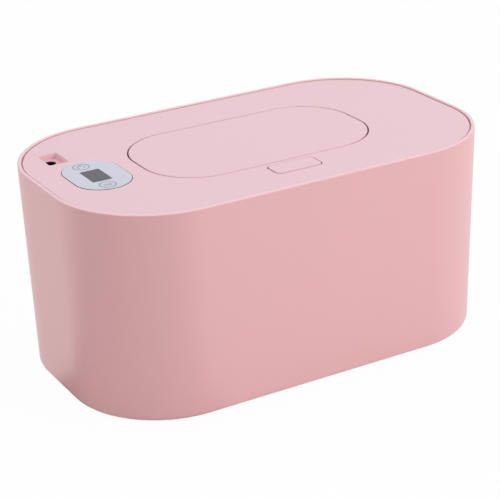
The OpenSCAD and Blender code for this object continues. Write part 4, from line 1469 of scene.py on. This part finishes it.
class WARMER_OT_stage(bpy.types.Operator):
    """Sets up the floor, the white studio light and the camera"""

    bl_idname = "warmer.stage"
    bl_label = "Studio"

    def execute(self, context):
        studio = context.scene.warmer_studio
        self.floor(studio)
        self.sky(studio)
        self.lamp("key_lamp", studio.key, 0.9, Vector((0.75, -1.0, 0.85)))
        self.lamp("top_lamp", studio.top, 1.2, Vector((0.0, 0.2, 1.5)))
        self.camera()
        context.scene.view_settings.view_transform = "Standard"
        return {"FINISHED"}

    def seen(self, tree, place, studio, clear=1.0):
        """How white the studio looks to the camera, in glass and in a reflection.

        No dark side is seen where clear is 0. Returns the rays that see plain white
        directly, how much of it the glossy rays see, and the glossy rays themselves.
        """
        dark_side = (-0.79, -0.61, 0)
        camera_ray = add_node(tree, "ShaderNodeLightPath", out="Is Camera Ray")
        glossy_ray = camera_ray.beside("Is Glossy Ray")
        direct = (camera_ray + camera_ray.beside("Is Transmission Ray")).clamped()
        way = add_node(tree, "ShaderNodeVectorMath", {"operation": "NORMALIZE"}, {0: place})
        side = add_node(
            tree,
            "ShaderNodeVectorMath",
            {"operation": "DOT_PRODUCT"},
            {0: way, 1: dark_side},
            "Value",
        )
        dark = side.blend(0.3, 0.62) * clear * studio.dusk
        return direct, glossy_ray * (1 - dark) * (1 - direct), glossy_ray

    def floor(self, studio):
        """A pale floor that is seen from above only, and isn't dark under the object."""
        half, low = 3.0, -0.02 * MM
        corners = [(-half, -half, low), (half, -half, low), (half, half, low), (-half, half, low)]
        data = bpy.data.meshes.new("studio_floor")
        data.from_pydata(corners, [], [(0, 1, 2, 3)])
        floor = add_object("studio_floor", data)
        material = bpy.data.materials.new("studio_white")
        material.use_nodes = True
        tree = material.node_tree
        tree.nodes.clear()
        corner_x, corner_y, reach = 0.058, 0.0155, 0.044
        spot = add_node(tree, "ShaderNodeTexCoord", out="Object")
        place = add_node(
            tree,
            "ShaderNodeVectorMath",
            {"operation": "SUBTRACT"},
            {0: spot, 1: (-corner_x, -corner_y, 0)},
        )
        x, y, _ = parts_of(tree, spot)
        across, deep = x.size().over(corner_x), y.size().over(corner_y)
        clear = (across * across + deep * deep) > reach ** 2
        direct, glossy, glossy_ray = self.seen(tree, place, studio, clear)

        def mixed(share, first, second):
            return add_node(tree, "ShaderNodeMixShader", values={0: share, 1: first, 2: second})

        matt = add_node(tree, "ShaderNodeBsdfDiffuse", values={"Color": (0.86, 0.86, 0.86, 1)})
        bright = {"Color": (1, 1, 1, 1), "Strength": 1.0}
        white = add_node(tree, "ShaderNodeEmission", values=bright)
        black = add_node(tree, "ShaderNodeEmission", values={"Strength": 0.0})
        lit = mixed(direct * studio.floor_glow + glossy, matt, white)
        dim = mixed(glossy_ray * (1 - direct) - glossy, lit, black)
        under = add_node(tree, "ShaderNodeNewGeometry", out="Backfacing")
        sided = mixed(under, dim, add_node(tree, "ShaderNodeBsdfTransparent"))
        plug(tree, tree.nodes.new("ShaderNodeOutputMaterial").inputs["Surface"], sided)
        data.materials.append(material)

    def sky(self, studio):
        world = bpy.data.worlds.new("studio_sky")
        bpy.context.scene.world = world
        world.use_nodes = True
        tree = world.node_tree
        tree.nodes.clear()
        way = add_node(tree, "ShaderNodeTexCoord", out="Generated")
        direct, glossy, glossy_ray = self.seen(tree, way, studio)
        rest = (1 - direct) * (1 - glossy_ray)
        strength = direct + glossy + rest * studio.sky
        sky = add_node(
            tree, "ShaderNodeBackground", values={"Color": (1, 1, 1, 1), "Strength": strength}
        )
        plug(tree, tree.nodes.new("ShaderNodeOutputWorld").inputs["Surface"], sky)

    def lamp(self, name, power, size, place):
        """A round soft lamp that faces the object's middle."""
        data = bpy.data.lights.new(name, "AREA")
        data.energy, data.size, data.shape = power, size, "DISK"
        lamp = add_object(name, data)
        lamp.location = place
        lamp.rotation_mode = "QUATERNION"
        lamp.rotation_quaternion = (place - Vector((0, 0, 0.05))).to_track_quat("Z", "Y")

    def camera(self):
        """The photograph's viewpoint, in millimetres and degrees."""
        turn, tilt, roll = (math.radians(x) for x in (-29.12, 23.36, -2.10))
        distance, shift, rise = 818.37, -1.7745, 39.984
        back = Vector(
            (math.sin(turn) * math.cos(tilt), -math.cos(turn) * math.cos(tilt), math.sin(tilt))
        )
        right = Vector((math.cos(turn), math.sin(turn), 0))
        up = back.cross(right)
        place = back * distance + right * shift + up * rise
        rolled_right = right * math.cos(roll) + up * math.sin(roll)
        rolled_up = up * math.cos(roll) - right * math.sin(roll)
        data = bpy.data.cameras.new("camera")
        data.lens, data.sensor_width = 122.01, 36
        data.clip_start, data.clip_end = 0.01, 20
        camera = add_object("camera", data)
        turned = Matrix((rolled_right, rolled_up, back)).transposed().to_4x4()
        camera.matrix_world = Matrix.Translation(place * MM) @ turned
        bpy.context.scene.camera = camera


class WARMER_PT_panel(bpy.types.Panel):
    """Lists the settings and the builders"""

    bl_label = "Wipe warmer"
    bl_space_type = "VIEW_3D"
    bl_region_type = "UI"
    bl_category = "Wipe warmer"

    def draw(self, context):
        scene = context.scene
        for group in (scene.warmer_sizes, scene.warmer_colours, scene.warmer_studio):
            box = self.layout.box()
            for name in group.__annotations__:
                box.prop(group, name)
        for builder in BUILDERS:
            self.layout.operator(builder.bl_idname)


BUILDERS = (
    WARMER_OT_finishes,
    WARMER_OT_shell,
    WARMER_OT_liner,
    WARMER_OT_feet,
    WARMER_OT_screws,
    WARMER_OT_lid_top,
    WARMER_OT_tray,
    WARMER_OT_heater,
    WARMER_OT_electronics,
    WARMER_OT_control_panel,
    WARMER_OT_springs,
    WARMER_OT_seals,
    WARMER_OT_flap,
    WARMER_OT_button,
    WARMER_OT_stage,
)
GROUPS = {
    "warmer_sizes": WarmerSizes,
    "warmer_colours": WarmerColours,
    "warmer_studio": WarmerStudio,
}
CLASSES = (*GROUPS.values(), *BUILDERS, WARMER_PT_panel)


def register():
    for made in CLASSES:
        bpy.utils.register_class(made)
    for name, group in GROUPS.items():
        setattr(bpy.types.Scene, name, bpy.props.PointerProperty(type=group))


def unregister():
    for name in GROUPS:
        delattr(bpy.types.Scene, name)
    for made in reversed(CLASSES):
        bpy.utils.unregister_class(made)


def main():
    register()
    for builder in BUILDERS:
        area, name = builder.bl_idname.split(".")
        getattr(getattr(bpy.ops, area), name)()


if __name__ == "__main__":
    main()
